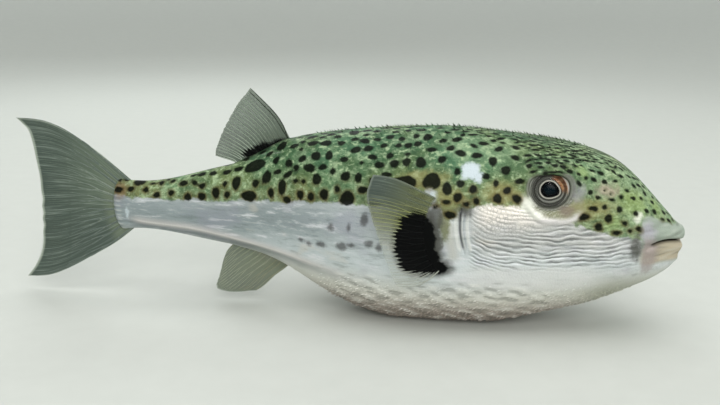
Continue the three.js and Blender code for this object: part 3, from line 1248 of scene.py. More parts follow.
@dataclass(frozen=True)
class Value:
    """A socket's output that can be used in Python expressions.

    Attributes:
        nodes: The tree it belongs to.
        socket: The output.
    """

    nodes: Nodes
    socket: NodeSocket

    def __add__(self, other: object) -> "Value":
        """Sum."""
        return self.nodes.maths("ADD", self, other)

    __radd__ = __add__

    def __sub__(self, other: object) -> "Value":
        """Difference."""
        return self.nodes.maths("SUBTRACT", self, other)

    def __rsub__(self, other: object) -> "Value":
        """Difference from a number."""
        return self.nodes.maths("SUBTRACT", other, self)

    def __mul__(self, other: object) -> "Value":
        """Product."""
        return self.nodes.maths("MULTIPLY", self, other)

    __rmul__ = __mul__

    def __pow__(self, other: object) -> "Value":
        """Power."""
        return self.nodes.maths("POWER", self, other)

    def least(self, other: object) -> "Value":
        """The smaller of two values."""
        return self.nodes.maths("MINIMUM", self, other)

    def most(self, other: object) -> "Value":
        """The larger of two values."""
        return self.nodes.maths("MAXIMUM", self, other)

    def sine(self) -> "Value":
        """Sine of an angle."""
        return self.nodes.maths("SINE", self)

    def ramp(self, low: float, high: float, start: float = 0.0, end: float = 1.0) -> "Value":
        """Pass smoothly from start to end as the value goes from low to high."""
        sockets = {"Value": self, "From Min": low, "From Max": high, "To Min": start, "To Max": end}
        return self.nodes.value("ShaderNodeMapRange", {"interpolation_type": "SMOOTHSTEP"}, sockets)


class Finish:
    """A material under construction, with a Principled shader."""

    def __init__(self, name: str, **constants: object) -> None:
        """Make the material.

        Args:
            name: The material's name.
            **constants: Shader values that are the same all over, with _ for a space.
        """
        self.material = bpy.data.materials.new(name)
        self.material.use_nodes = True
        self.nodes = Nodes(self.material.node_tree)
        fixed = {key.replace("_", " "): value for key, value in constants.items()}
        self.shader = self.nodes.add("ShaderNodeBsdfPrincipled", None, fixed)
        surface = {"Surface": self.shader.outputs[0]}
        self.output = self.nodes.add("ShaderNodeOutputMaterial", None, surface)
        self.place = self.nodes.value("ShaderNodeTexCoord", output="Object")

    def field(self, name: str) -> Value:
        """Read one of the mesh's own fields."""
        return self.nodes.value("ShaderNodeAttribute", {"attribute_name": name}, output="Fac")

    def axis(self, name: str) -> Value:
        """One coordinate of the place, in metres."""
        return self.nodes.value("ShaderNodeSeparateXYZ", None, {0: self.place}, name)

    def set(self, **sockets: object) -> None:
        """Feed the shader's sockets."""
        for key, value in sockets.items():
            self.nodes.feed(self.shader.inputs[key.replace("_", " ")], value)

    def bump(self, height: Value, depth: float, strength: float = 1.0) -> Value:
        """Make a normal from a height, where 1 is the relief's depth in metres."""
        sockets = {"Height": height, "Distance": depth, "Strength": strength}
        return self.nodes.value("ShaderNodeBump", None, sockets, "Normal")


# ---- finishes


@dataclass(frozen=True)
class SkinFinish:
    """Wet, fine-grained skin: green and spotted above, silver on the sides, white below.

    Attributes:
        light: Colour of the light flecks in the green.
        deep: Colour of the dark ones.
    """

    light: str = "9AAE8A"
    deep: str = "2F4731"

    def green_coat(self, skin: Finish, above: Value, grain: Value, mottle: Value) -> Value:
        """Mix the back's green, with its light net and dark flecks.

        Args:
            skin: The material under construction.
            above: Height over the green's edge in millimetres.
            grain: The finest noise.
            mottle: A coarser one.

        Returns:
            The colour.
        """
        n = skin.nodes
        broad = n.noise(skin.place, 32.0, 2.0)
        middling = n.noise(skin.place, 85.0, 3.0)
        head = skin.axis("X").ramp(0.03, 0.112)
        net = n.cells(n.stretch(skin.place, (0.8, 1, 1)), 330.0).ramp(0.1, 0.0)
        net = net * mottle.ramp(0.36, 0.6) * (0.2 + 0.35 * head)
        fleck = n.noise(n.stretch(skin.place, (0.7, 1, 1)), 400.0, 2.0)
        return n.coats(
            n.mix(above.ramp(5, 30), "64764F", "415D3F"),
            ((above + 9 * (broad - 0.5)).ramp(9, 1) * 0.7, "6F6F4C"),
            (head * 0.7, "8B9E79"),
            (broad.ramp(0.44, 0.66) * 0.3, "5E8F72"),
            (broad.ramp(0.5, 0.34) * 0.3, "87905A"),
            (middling.ramp(0.5, 0.7) * 0.35, self.light),
            (middling.ramp(0.48, 0.32) * 0.35, self.deep),
            (mottle.ramp(0.5, 0.68) * 0.62, self.light),
            (mottle.ramp(0.46, 0.3) * 0.5, self.deep),
            (net, "B4C4A0"),
            (fleck.ramp(0.54, 0.7) * 0.62, "AFC39B"),
            (fleck.ramp(0.46, 0.32) * 0.5, self.deep),
            (grain.ramp(0.52, 0.78) * 0.5, "34502F"),
        )

    def silver_side(self, skin: Finish, above: Value, grain: Value, furrows: Value) -> Value:
        """Mix the colours of the silver flank, the cheeks and the pale belly.

        Args:
            skin: The material under construction.
            above: Height over the green's edge in millimetres.
            grain: The finest noise.
            furrows: The cheeks' wrinkles, from -1 in a furrow to 1 on a crest.

        Returns:
            The colour.
        """
        n = skin.nodes
        x, z = skin.axis("X"), skin.axis("Z")
        bright = above.ramp(-9, -1) * x.ramp(0.03, 0.0) * x.ramp(-0.2, -0.15)
        low = z.ramp(0.062, 0.044) * x.ramp(-0.15, -0.09)
        streak = n.noise(n.stretch(skin.place, (0.2, 1, 1.5)), 190.0, 4.0, 0.65)
        cloud = n.noise(n.stretch(skin.place, (0.6, 1, 1)), 55.0, 3.0)
        # painted highlight: the silver just under the green behind the eye is made almost white
        painted_glow = x.ramp(0.016, 0.03) * x.ramp(0.066, 0.044) * above.ramp(-17, -3)
        low_cheek = z.ramp(0.048, 0.042) * z.ramp(0.028, 0.034) * x.ramp(0.0, 0.03) * x.ramp(0.1, 0.08)
        # painted shade in the pits between the belly's spinules
        pits = n.noise(n.stretch(skin.place, (0.6, 1, 1)), 420.0, 2.0)
        prickle_shade = skin.field("prickle_belly") * pits.ramp(0.5, 0.36)
        net = n.cells(n.stretch(skin.place, (0.9, 1, 0.9)), 560.0).ramp(0.16, 0.02)
        faint = (skin.field("faint") + 2.4 * (grain - 0.5)).ramp(-1.4, 1.3)
        return n.coats(
            n.mix(x.ramp(-0.095, -0.01), "919B9D", "B6BCBE"),
            (x.ramp(0.012, 0.03), "BDBDBB"),
            (bright * 0.2, "C9CACB"),
            (low * 0.6, "D6DEE0"),
            # the light streaks are partly painted highlights on the silver skin, the dark ones its own tone
            (streak.ramp(0.5, 0.72) * 0.7, "E2E2E6"),
            (streak.ramp(0.48, 0.3) * 0.52, "6F7A7A"),
            (cloud.ramp(0.52, 0.7) * 0.35, "9796A6"),
            (cloud.ramp(0.42, 0.3) * 0.3, "D8CDBE"),
            (painted_glow, "F0E8E0"),
            (skin.field("belly"), "D8D7CE"),
            # painted shade under the belly, with the warm tint of painted bounce light from the ground
            (z.ramp(0.028, 0.007) * 0.85, "9C8C82"),
            (x.ramp(0.07, 0.1) * z.ramp(0.045, 0.025) * 0.72, "969985"),
            (low_cheek * 0.6, "DEDEDC"),
            (prickle_shade * 0.22, "8B897F"),
            # painted shade in the cheeks' furrows and in the fine net of wrinkles
            ((furrows * -1).ramp(-0.2, 0.9) * skin.field("wrinkled") * 0.6, "5E605F"),
            (net * skin.field("netted") * streak.ramp(0.35, 0.6) * 0.4, "5E605F"),
            (skin.field("fold") * 0.75, "CDC6C4"),
            (skin.field("shade") * 0.4, "5B5E60"),
            (faint * 0.72, "3D3A39"),
        )

    def build(self) -> Material:
        """Mix all the skin's colours and its finest relief.

        Returns:
            The material.
        """
        skin = Finish("spotted_skin", Coat_Roughness=0.18, Specular_IOR_Level=0.07, IOR=1.4)
        n = skin.nodes
        grain = n.noise(skin.place, 620.0, 4.0)
        mottle = n.noise(skin.place, 190.0, 4.0, 0.62)
        patch = n.noise(skin.place, 330.0, 3.0, 0.6)
        ripple = n.noise(n.stretch(skin.place, (0.5, 1, 1)), 260.0, 3.0)
        furrows = n.maths("COSINE", (skin.field("wrinkle") + 0.85 * (ripple - 0.5)) * (2 * math.pi))
        above, crest, groove_shade, lip = (skin.field(name) for name in ("above", "crest", "groove_shade", "lip"))
        green = (above + 4.0 * (mottle - 0.5) + 2.0 * (grain - 0.5)).ramp(-0.8, 1.0)
        pale = (skin.field("pale") + 5.0 * (patch - 0.5) + 2.0 * (grain - 0.5)).ramp(-1.4, 1.6)
        lips = n.coats(
            n.mix(skin.field("lower"), "9AA498", "BDB19B"),
            # painted shade in the lips' creases, painted highlights on their ridges and painted shade at
            # the mouth's corner
            (crest.ramp(0.0, -1.0) * 0.4, "66695F"),
            (crest.ramp(0.0, 1.0) * 0.3, "D6D6CC"),
            (skin.field("shade") * 0.6, "54534E"),
        )
        side = self.silver_side(skin, above, grain, furrows)
        colour = n.coats(
            n.mix(green, side, self.green_coat(skin, above, grain, mottle)),
            (skin.field("nostril") * 0.75, "A9A68C"),
            (skin.field("eyebag") * 0.85, "98967E"),
            (skin.field("pouch"), "D9D4D3"),
            (skin.field("lid") * 0.9, n.mix(patch, "5C5E57", "7F8077")),
            (skin.field("flap") * 0.7, "BDBCB3"),
            # painted highlights on the relief's ridges and painted shade in its troughs
            (crest.ramp(0.2, 1.0) * 0.4, "E9E8E2"),
            (crest.ramp(-0.2, -1.0) * 0.4, "6E7169"),
            # white patches, and one small painted glint where the tail fin starts
            (pale, "C4CED4"),
            (lip, lips),
        )
        for wash in WASHES:
            ragged = wash.soft * (0.9 * (patch - 0.5) + 1.3 * (mottle - 0.5))
            share = (skin.field(wash.name) + ragged).ramp(-wash.soft / 2, wash.soft / 2)
            colour = n.mix(share * wash.strength, colour, wash.colour)

        # spots with brown halos, the smoky rim of the blotch and the blotch itself, and painted shade in
        # the creases
        edge = skin.field("spots") + 1.2 * (grain - 0.5) + 0.9 * (patch - 0.5)
        halo = edge.ramp(-2.2, 0.0) * above.ramp(18, 5) * above.ramp(-2, 1) * 0.6
        spots = edge.ramp(-0.8, 0.6) * (1 - pale) * (1 - lip)
        stain = skin.field("blotch")
        smoky = (stain + 2.5 * (patch - 0.5)).ramp(-5.5, -0.5)
        blotch = (stain + 2.4 * (grain - 0.5) + 2.0 * (patch - 0.5)).ramp(-1.2, 1.0)
        colour = n.coats(
            colour,
            (halo, "5E4F2E"),
            (spots * 0.97, n.mix(grain.ramp(0.4, 0.75), "050804", "0F160C")),
            (skin.field("root") * 0.85, "0E120A"),
            (smoky * 0.8, "484843"),
            (blotch, "050606"),
            # painted shade in the grooves: the mouth's cleft, the gill slit, the nostrils, the vent and the
            # rings round the eyes
            (groove_shade.ramp(0.15, 0.95) * 0.93, "110D0A"),
        )

        pores = n.value("ShaderNodeTexVoronoi", None, {"Vector": skin.place, "Scale": 900.0}, "Distance")
        fine = n.noise(skin.place, 1500.0, 2.0)
        height = 0.5 * pores + 0.6 * grain + 0.3 * fine + 0.8 * (furrows * skin.field("wrinkled"))
        bright = (1 - green) * (1 - blotch) * (1 - groove_shade.ramp(0.1, 0.6))
        skin.set(
            Base_Color=colour,
            Metallic=bright * 0.25,
            Roughness=0.36 + 0.2 * grain + 0.06 * green,
            Coat_Weight=0.03 + 0.16 * bright,
            Normal=skin.bump(height, 0.00028, 0.8),
        )
        return skin.material


@dataclass(frozen=True)
class FinFinish:
    """A thin wet membrane with fine streaks along its rays.

    Attributes:
        name: The material's name.
        colour: The membrane's colour.
        tip: Its colour towards the free edge.
        root: Its colour at the root.
        lag: Its colour towards the rear or lower side.
        body: How solid it looks near the root.
        thin: How solid it looks near the free edge.
        lag_thin: How solid the rear or lower side is, compared with the front.
        foot: How far the root's colour reaches.
        lead: How solid the outer part of the front or upper side is at least.
        hem: How pale the edges are.
        streaks: How strong the streaks are.
    """

    name: str
    colour: str
    tip: str
    root: str
    lag: str
    body: float
    thin: float
    lag_thin: float = 1.0
    foot: float = 0.25
    lead: float = 0.0
    hem: float = 0.8
    streaks: float = 0.35

    def build(self) -> Material:
        """Mix the membrane's colours and how solid it looks.

        Returns:
            The material.
        """
        fin = Finish(self.name, Coat_Roughness=0.2, Specular_IOR_Level=0.08, IOR=1.38)
        n = fin.nodes
        along, across, lag = fin.field("along"), fin.field("across"), fin.field("lag")
        lines = n.value("ShaderNodeCombineXYZ", None, {"X": across * 0.65, "Y": along * 0.9})
        streak = n.noise(lines, 2.0, 4.0, 0.6)
        grain = n.noise(fin.place, 900.0, 3.0)
        rib = n.maths("COSINE", across * (2 * math.pi))
        front = lag.ramp(0.42, 0.2)
        outer = along.ramp(0.1, 0.95) * (front if self.lead else 1.0)
        foot = (along + 0.16 * (streak - 0.5)).ramp(self.foot, 0.45 * self.foot)
        dark = (fin.field("blotch") + (grain - 0.5)).ramp(-0.4, 0.7)
        colour = n.coats(
            self.colour,
            (outer, self.tip),
            (lag.ramp(0.35, 0.8), self.lag),
            (foot * lag.ramp(0.05, 0.22), self.root),
            (streak.ramp(0.5, 0.7) * self.streaks, "8C978D"),
            (streak.ramp(0.48, 0.3) * self.streaks, "4B564B"),
            (rib.ramp(0.0, 1.0) * along.ramp(0.3, 0.75) * 0.2, "3E493F"),
            (fin.field("hem") * self.hem, "B9C1B3"),
            (dark, "050606"),
        )
        alpha = along.ramp(0.05, 0.9, self.body, self.thin) * lag.ramp(0.3, 0.75, 1.0, self.lag_thin)
        alpha = (alpha + 0.2 * (streak - 0.5) * self.thin).most(0.95 * foot)
        alpha = alpha.most(self.lead * front * along.ramp(0.25, 0.6))
        fin.set(
            Base_Color=colour, Alpha=alpha.most(dark * 0.98).least(1.0), Roughness=0.36 + 0.2 * grain,
            Coat_Weight=0.1 * (1 - dark), Normal=fin.bump(0.6 * grain + 0.4 * rib, 0.00012, 0.6),
        )
        return fin.material


@dataclass(frozen=True)
class RayFinish:
    """Jointed fin rays, paler than the membrane between them.

    Attributes:
        name: The material's name.
        root: Colour where a ray leaves the body.
        tip: Colour at its end.
        lead: Colour of the front or upper rays.
        lag: Colour of the rear or lower rays.
        span: Share of the fin that the front rays take.
        joint: Distance between a ray's joints in millimetres.
    """

    name: str
    root: str
    tip: str
    lead: str
    lag: str
    span: float = 0.3
    joint: float = 1.25

    def build(self) -> Material:
        """Mix the rays' colours.

        Returns:
            The material.
        """
        ray = Finish(self.name, Coat_Roughness=0.2, Specular_IOR_Level=0.1, IOR=1.45)
        n = ray.nodes
        along, lag = ray.field("along"), ray.field("lag")
        joints = (ray.field("reach") * (2 * math.pi / self.joint)).sine().ramp(0.6, 1.0)
        grain = n.noise(ray.place, 800.0, 2.0)
        dark = (ray.field("blotch") + (grain - 0.5)).ramp(-0.4, 0.7)
        colour = n.coats(
            self.root,
            (along.ramp(0.0, 0.7), self.tip),
            (lag.ramp(0.4, 0.58) * along.ramp(0.02, 0.12), self.lag),
            (lag.ramp(self.span, 0.7 * self.span), self.lead),
            (joints * 0.18, "4B5244"),
            (grain.ramp(0.5, 0.8) * 0.3, "B5BAA8"),
            (dark, "060707"),
        )
        ray.set(
            Base_Color=colour, Roughness=0.4 + 0.2 * grain, Coat_Weight=0.1 * (1 - dark),
            Normal=ray.bump(grain - 0.5 * joints, 0.00008, 0.5),
        )
        return ray.material


class IrisFinish:
    """The iris: a gold ring round the pupil, grey bands and a warm patch in front."""

    def build(self) -> Material:
        """Mix the iris's rings.

        Returns:
            The material.
        """
        iris = Finish("iris", IOR=1.45, Specular_IOR_Level=0.2)
        n = iris.nodes
        ring, front = iris.field("ring"), iris.field("front")
        fibre = n.noise(iris.place, 2200.0, 3.0)
        cloud = n.noise(iris.place, 420.0, 3.0)
        wavy = ring + 0.07 * (cloud - 0.5)
        bands = [
            (wavy.ramp(low - 0.07, low) * wavy.ramp(high + 0.07, high) * 0.8, "A0A198")
            for low, high in ((0.28, 0.35), (0.52, 0.6), (0.76, 0.86))
        ]
        warm = front * wavy.ramp(0.14, 0.22) * wavy.ramp(0.8, 0.6)
        pale = front * wavy.ramp(0.6, 0.7) * wavy.ramp(0.88, 0.8)
        gold = wavy.ramp(0.0, 0.03) * wavy.ramp(0.135, 0.075) * cloud.ramp(0.2, 0.5, 0.55, 1.0)
        colour = n.coats(
            "3B3C36",
            (wavy.ramp(0.1, 0.95), "595B53"),
            *bands,
            (warm, n.mix(cloud.ramp(0.4, 0.62), "98552E", "CE9C70")),
            (pale * 0.85, "C4C0B8"),
            (gold, "C0BCB2"),
            (fibre.ramp(0.45, 0.75) * 0.3, "8C8982"),
            (ring.ramp(0.01, -0.02), "030405"),
        )
        iris.set(
            Base_Color=colour, Roughness=0.34 + 0.2 * fibre,
            Metallic=0.3 * gold + 0.12 * fibre, Normal=iris.bump(fibre, 0.00012, 0.6),
        )
        return iris.material


class LensFinish:
    """The dark, blue-black lens that fills the pupil."""

    def build(self) -> Material:
        """Mix the lens's colours.

        Returns:
            The material.
        """
        lens = Finish("lens", Coat_Weight=0.06, Coat_Roughness=0.04, Specular_IOR_Level=0.06, IOR=1.45)
        n = lens.nodes
        depth = n.noise(lens.place, 260.0, 2.0)
        colour = n.mix(lens.field("centre").ramp(0.1, 0.9) * 0.8, "020304", "061A22")
        lens.set(Base_Color=colour, Roughness=0.12 + 0.08 * depth)
        return lens.material


class CorneaFinish:
    """The clear window over the eye, which shows only as gloss."""

    def build(self) -> Material:
        """Blend gloss with nothing.

        Returns:
            The material.
        """
        cornea = Finish("cornea", Specular_IOR_Level=1.0, IOR=1.36)
        n = cornea.nodes
        film = n.noise(cornea.place, 300.0, 2.0)
        cornea.set(Base_Color=n.mix(film, "020303", "050606"), Roughness=0.02 + 0.05 * film)
        clear = n.add("ShaderNodeBsdfTransparent")
        rim = n.value("ShaderNodeLayerWeight", None, {"Blend": 0.2}, "Fresnel")
        sockets = {0: (0.045 + 0.6 * rim).least(1.0), 1: clear.outputs[0], 2: cornea.shader.outputs[0]}
        blend = n.add("ShaderNodeMixShader", None, sockets)
        n.feed(cornea.output.inputs["Surface"], blend.outputs[0])
        return cornea.material


class FloorFinish:
    """A plain pale floor whose wall is painted lighter and glows a little, as painted light against its
    shade.
    """

    def build(self) -> Material:
        """Mix the floor's colours, which get lighter up the wall as painted light.

        Returns:
            The material.
        """
        floor = Finish("pale_floor", IOR=1.3, Emission_Strength=1.0)
        n = floor.nodes
        grain, z = n.noise(floor.place, 60.0, 4.0), floor.axis("Z")
        # painted light: a lighter colour and a glow up the wall, where less lamp light reaches
        colour = n.mix(z.ramp(0.0, 0.7), n.mix(grain, "BFC1BC", "C6C8C3"), "F2F4F0")
        painted_glow = n.mix(z.ramp(0.0, 1.1), "000000", "6E716F")
        floor.set(Base_Color=colour, Roughness=0.7 + 0.1 * grain, Emission_Color=painted_glow)
        return floor.material


# ---- meshes


def add_object(name: str, data: ID) -> Object:
    """Put a mesh, light or camera into the scene.

    Args:
        name: The object's name.
        data: What it shows.

    Returns:
        The object.
    """
    item = bpy.data.objects.new(name, data)
    bpy.context.collection.objects.link(item)
    return item


def write_fields(mesh: Mesh, fields: Fields) -> None:
    """Store numbers at a mesh's points.

    Args:
        mesh: The mesh.
        fields: The numbers, by name.
    """
    for key, values in fields.items():
        layer = mesh.attributes.new(key, "FLOAT", "POINT")
        layer.data.foreach_set("value", np.ascontiguousarray(values, dtype=np.float32).ravel())


def make_piece(name: str, points: Array, faces: Sequence[Sequence[int]],
               material: Material, fields: Fields | None = None) -> Object:
    """Make a smooth mesh object.

    Args:
        name: The piece's name.
        points: Its corners in millimetres.
        faces: Corner numbers of each face.
        material: Its finish.
        fields: Numbers at the corners that the finish reads.

    Returns:
        The object, in the scene.
    """
    mesh = bpy.data.meshes.new(name)
    mesh.from_pydata((points * MM).tolist(), [], [list(map(int, f)) for f in faces])
    write_fields(mesh, fields or {})
    mesh.polygons.foreach_set("use_smooth", [True] * len(mesh.polygons))
    mesh.materials.append(material)
    mesh.validate()
    return add_object(name, mesh)


def grid_faces(rows: int, columns: int, closed: bool = False) -> Array:
    """Quads of a grid whose corners are numbered row by row.

    Args:
        rows: Corners along the first direction.
        columns: Corners along the second.
        closed: Whether the last column joins the first.

    Returns:
        Four corner numbers for each face.
    """
    i, j = np.meshgrid(np.arange(rows - 1), np.arange(columns if closed else columns - 1), indexing="ij")
    k = (j + 1) % columns
    here, there = i * columns, (i + 1) * columns
    return np.stack([here + j, there + j, there + k, here + k], axis=-1).reshape(-1, 4)


def tube_faces(rows: int, columns: int) -> list[list[int]]:
    """Faces of a tube of rings that is closed by a fan at each end.

    Args:
        rows: How many rings it has.
        columns: Corners of each ring.

    Returns:
        Corner numbers of each face. The middles of the first and last end follow the rings.
    """
    first, last, start = rows * columns, rows * columns + 1, (rows - 1) * columns
    pairs = [(a, (a + 1) % columns) for a in range(columns)]
    fans = [[first, a, b] for a, b in pairs] + [[last, start + b, start + a] for a, b in pairs]
    return grid_faces(rows, columns, closed=True).tolist() + fans


def tube_fields(fields: Fields) -> Fields:
    """Give the middles of a tube's ends the means of the rings beside them."""
    return {key: np.append(rings, [rings[0].mean(), rings[-1].mean()]) for key, rings in fields.items()}


def place_piece(piece: Object, slot: str, *replaced: str) -> None:
    """Fix a piece to the fish and hide the plain nodes it stands for.

    Args:
        piece: The object.
        slot: Not used.
        *replaced: The plain nodes it stands for.
    """
    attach(piece, "root")
    if replaced:
        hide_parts(*replaced)
    LOG.info("%s: %d faces", piece.name, len(piece.data.polygons))


# ---- the skin as a piece


@dataclass
class Skin:
    """The one skin over the fish's flesh.

    Attributes:
        grid: Its rings of points.
        relief: What shapes them.
        markings: What colours them.
        piece: The object, once it is built.
    """

    grid: SkinGrid
    relief: Relief
    markings: Markings
    piece: Object = field(init=False)

    def build(self) -> None:
        """Shape the grid and make its mesh, with both ends closed."""
        self.grid.build()
        marks = self.relief.apply(self.grid)
        self.markings.apply(self.grid, marks)
        rings = self.grid.points
        poles = [rings[0].mean(axis=0), rings[-1].mean(axis=0)]
        points = np.concatenate([rings.reshape(-1, 3), poles])
        faces = tube_faces(*rings.shape[:2])
        self.piece = make_piece("skin", points, faces, SkinFinish().build(), tube_fields(marks))
        self.unwrap(*rings.shape[:2])

    def unwrap(self, rows: int, columns: int) -> None:
        """Give the skin its map, and each point its root on that map.

        Args:
            rows: How many rings there are.
            columns: Points of each ring.
        """
        along, around = self.grid.unwrap()
        sheet = np.stack([np.repeat(along[:, None], columns + 1, axis=1), around], axis=-1)
        i, j = np.meshgrid(np.arange(rows - 1), np.arange(columns), indexing="ij")
        quads = np.stack([sheet[i, j], sheet[i + 1, j], sheet[i + 1, j + 1], sheet[i, j + 1]], axis=2)
        corners = [quads.reshape(-1, 2)]
        for row, pole in ((0, 0.01), (-1, 0.99)):
            near, far = sheet[row, :-1], sheet[row, 1:]
            tip = np.column_stack([np.full(columns, pole), (near[:, 1] + far[:, 1]) / 2])
            pair = (far, near) if row else (near, far)
            corners.append(np.stack([tip, *pair], axis=1).reshape(-1, 2))
        layer = self.piece.data.uv_layers.new(name=BAKE_MAP)
        layer.data.foreach_set("uv", np.concatenate(corners).astype(np.float32).ravel())
        roots = np.zeros((rows * columns + 2, 3), dtype=np.float32)
        roots[:-2, :2] = sheet[:, :columns].reshape(-1, 2)
        places = self.piece.data.attributes.new("root_place", "FLOAT_VECTOR", "POINT")
        places.data.foreach_set("vector", roots.ravel())

    def dress(self) -> None:
        """Fix the skin in place of the solids of flesh."""
        place_piece(self.piece, "spotted_skin", "head", "lower_jaw", "trunk", "tail_stem")


# ---- spinules


def geometry_tree(name: str, **numbers: str) -> tuple[Nodes, dict[str, Value]]:
    """Start a node tree that takes a shape and some numbers and gives a shape.

    Args:
        name: The tree's name.
        **numbers: The type of each number, Float or Int.

    Returns:
        The tree and its inputs, by name.
    """
    tree = bpy.data.node_groups.new(name, "GeometryNodeTree")
    kinds = {"Geometry": "Geometry", **numbers}
    for key, kind in kinds.items():
        tree.interface.new_socket(key, in_out="INPUT", socket_type=f"NodeSocket{kind}")
    tree.interface.new_socket("Geometry", in_out="OUTPUT", socket_type="NodeSocketGeometry")
    nodes = Nodes(tree)
    given = nodes.add("NodeGroupInput")
    return nodes, {key: Value(nodes, given.outputs[key]) for key in kinds}


@dataclass(frozen=True)
class Spinules:
    """A field of small spines that lie back along the skin.

    Attributes:
        name: The piece's name.
        mask: The skin's field that says where they grow.
        spacing: Least distance between two.
        length: Length of a spine.
        width: Radius of its foot.
        lean: How far it lies back, from 0 for upright.
        seed: Picks their places.
        sizes: The least and greatest size, as shares of the usual one.
        patch: Half the width of a spine's own patch on the skin's map.
    """

    name: str
    mask: str
    spacing: float
    length: float
    width: float
    lean: float
    seed: int
    sizes: Point2 = (0.65, 1.3)
    patch: float = 0.0015

    def tree(self, material: Material) -> NodeTree:
        """Build the node tree that grows the spines.

        Args:
            material: Their finish.

        Returns:
            The tree.
        """
        g, given = geometry_tree(
            self.name, Spacing="Float", Length="Float", Width="Float", Lean="Float", Seed="Int"
        )
        spacing, width, seed = given["Spacing"], given["Width"], given["Seed"]
        bare = g.value("GeometryNodeRemoveAttribute", None, {0: given["Geometry"], "Name": BAKE_MAP})
        settings = {"distribute_method": "POISSON"}
        sockets = {"Mesh": bare, "Distance Min": spacing, "Density Max": 1.6 * spacing**-2,
                   "Density Factor": g.read(self.mask), "Seed": seed}
        scatter = g.add("GeometryNodeDistributePointsOnFaces", settings, sockets)
        normal = scatter.outputs["Normal"]
        rear = g.value("ShaderNodeCombineXYZ", None, {"X": -1.0 * given["Lean"]})
        heading = g.value("ShaderNodeVectorMath", {"operation": "ADD"}, {0: normal, 1: rear})
        turn = g.value("FunctionNodeAlignRotationToVector", {"axis": "Z"}, {"Vector": heading})
        sockets = {"Min_001": self.sizes[0], "Max_001": self.sizes[1], "Seed": seed}
        size = g.value("FunctionNodeRandomValue", {"data_type": "FLOAT"}, sockets, 1)
        cone = g.value("GeometryNodeMeshCone", {"fill_type": "TRIANGLE_FAN"},
                       {"Vertices": 5, "Radius Top": 0.0, "Radius Bottom": width, "Depth": given["Length"]})
        sockets = {0: g.value("GeometryNodeInputPosition"), "Scale": self.patch * width**-1}
        patch = g.value("ShaderNodeVectorMath", {"operation": "SCALE"}, sockets)
        cone = g.value("GeometryNodeStoreNamedAttribute", {"data_type": "FLOAT_VECTOR", "domain": "POINT"},
                       {"Geometry": cone, "Name": "patch", "Value": patch})
        sunk = g.value("ShaderNodeCombineXYZ", None, {"Z": -0.3 * width})
        cone = g.value("GeometryNodeTransform", None, {"Geometry": cone, "Translation": sunk})
        sockets = {"Points": scatter.outputs["Points"], "Instance": cone, "Rotation": turn, "Scale": size}
        grown = g.value("GeometryNodeInstanceOnPoints", None, sockets)
        solid = g.value("GeometryNodeRealizeInstances", None, {"Geometry": grown})
        root, own = (g.read(name, "FLOAT_VECTOR") for name in ("root_place", "patch"))
        place = g.value("ShaderNodeVectorMath", {"operation": "ADD"}, {0: root, 1: own})
        mapped = g.value("GeometryNodeStoreNamedAttribute", {"data_type": "FLOAT2", "domain": "CORNER"},
                         {"Geometry": solid, "Name": BAKE_MAP, "Value": place})
        painted = g.value("GeometryNodeSetMaterial", None, {"Geometry": mapped, "Material": material})
        g.add("NodeGroupOutput", None, {"Geometry": painted})
        return g.tree

    def build(self, skin: Object) -> None:
        """Grow the spines on the skin and fix them to the fish.

        Args:
            skin: The skin's piece.
        """
        sizes = {"Spacing": self.spacing * MM, "Length": self.length * MM, "Width": self.width * MM,
                 "Lean": self.lean, "Seed": self.seed}
        mesh = grow(skin, self.tree(skin.data.materials[0]), sizes, self.name)
        place_piece(add_object(self.name, mesh), "spotted_skin")


def grow(carrier: Object, tree: NodeTree, sizes: dict[str, object], name: str) -> Mesh:
    """Run a node tree on an object and keep the result as a plain mesh.

    Args:
        carrier: The object whose mesh the tree starts from, which stays as it was.
        tree: The node tree.
        sizes: Values of its inputs, by name.
        name: The new mesh's name.

    Returns:
        The mesh.
    """
    modifier = carrier.modifiers.new(name, "NODES")
    modifier.node_group = tree
    for item in tree.interface.items_tree:
        if item.item_type == "SOCKET" and item.in_out == "INPUT" and item.name in sizes:
            modifier[item.identifier] = sizes[item.name]
    graph = bpy.context.evaluated_depsgraph_get()
    mesh = bpy.data.meshes.new_from_object(carrier.evaluated_get(graph), depsgraph=graph)
    mesh.name = name
    carrier.modifiers.remove(modifier)
    return mesh


# ---- fins


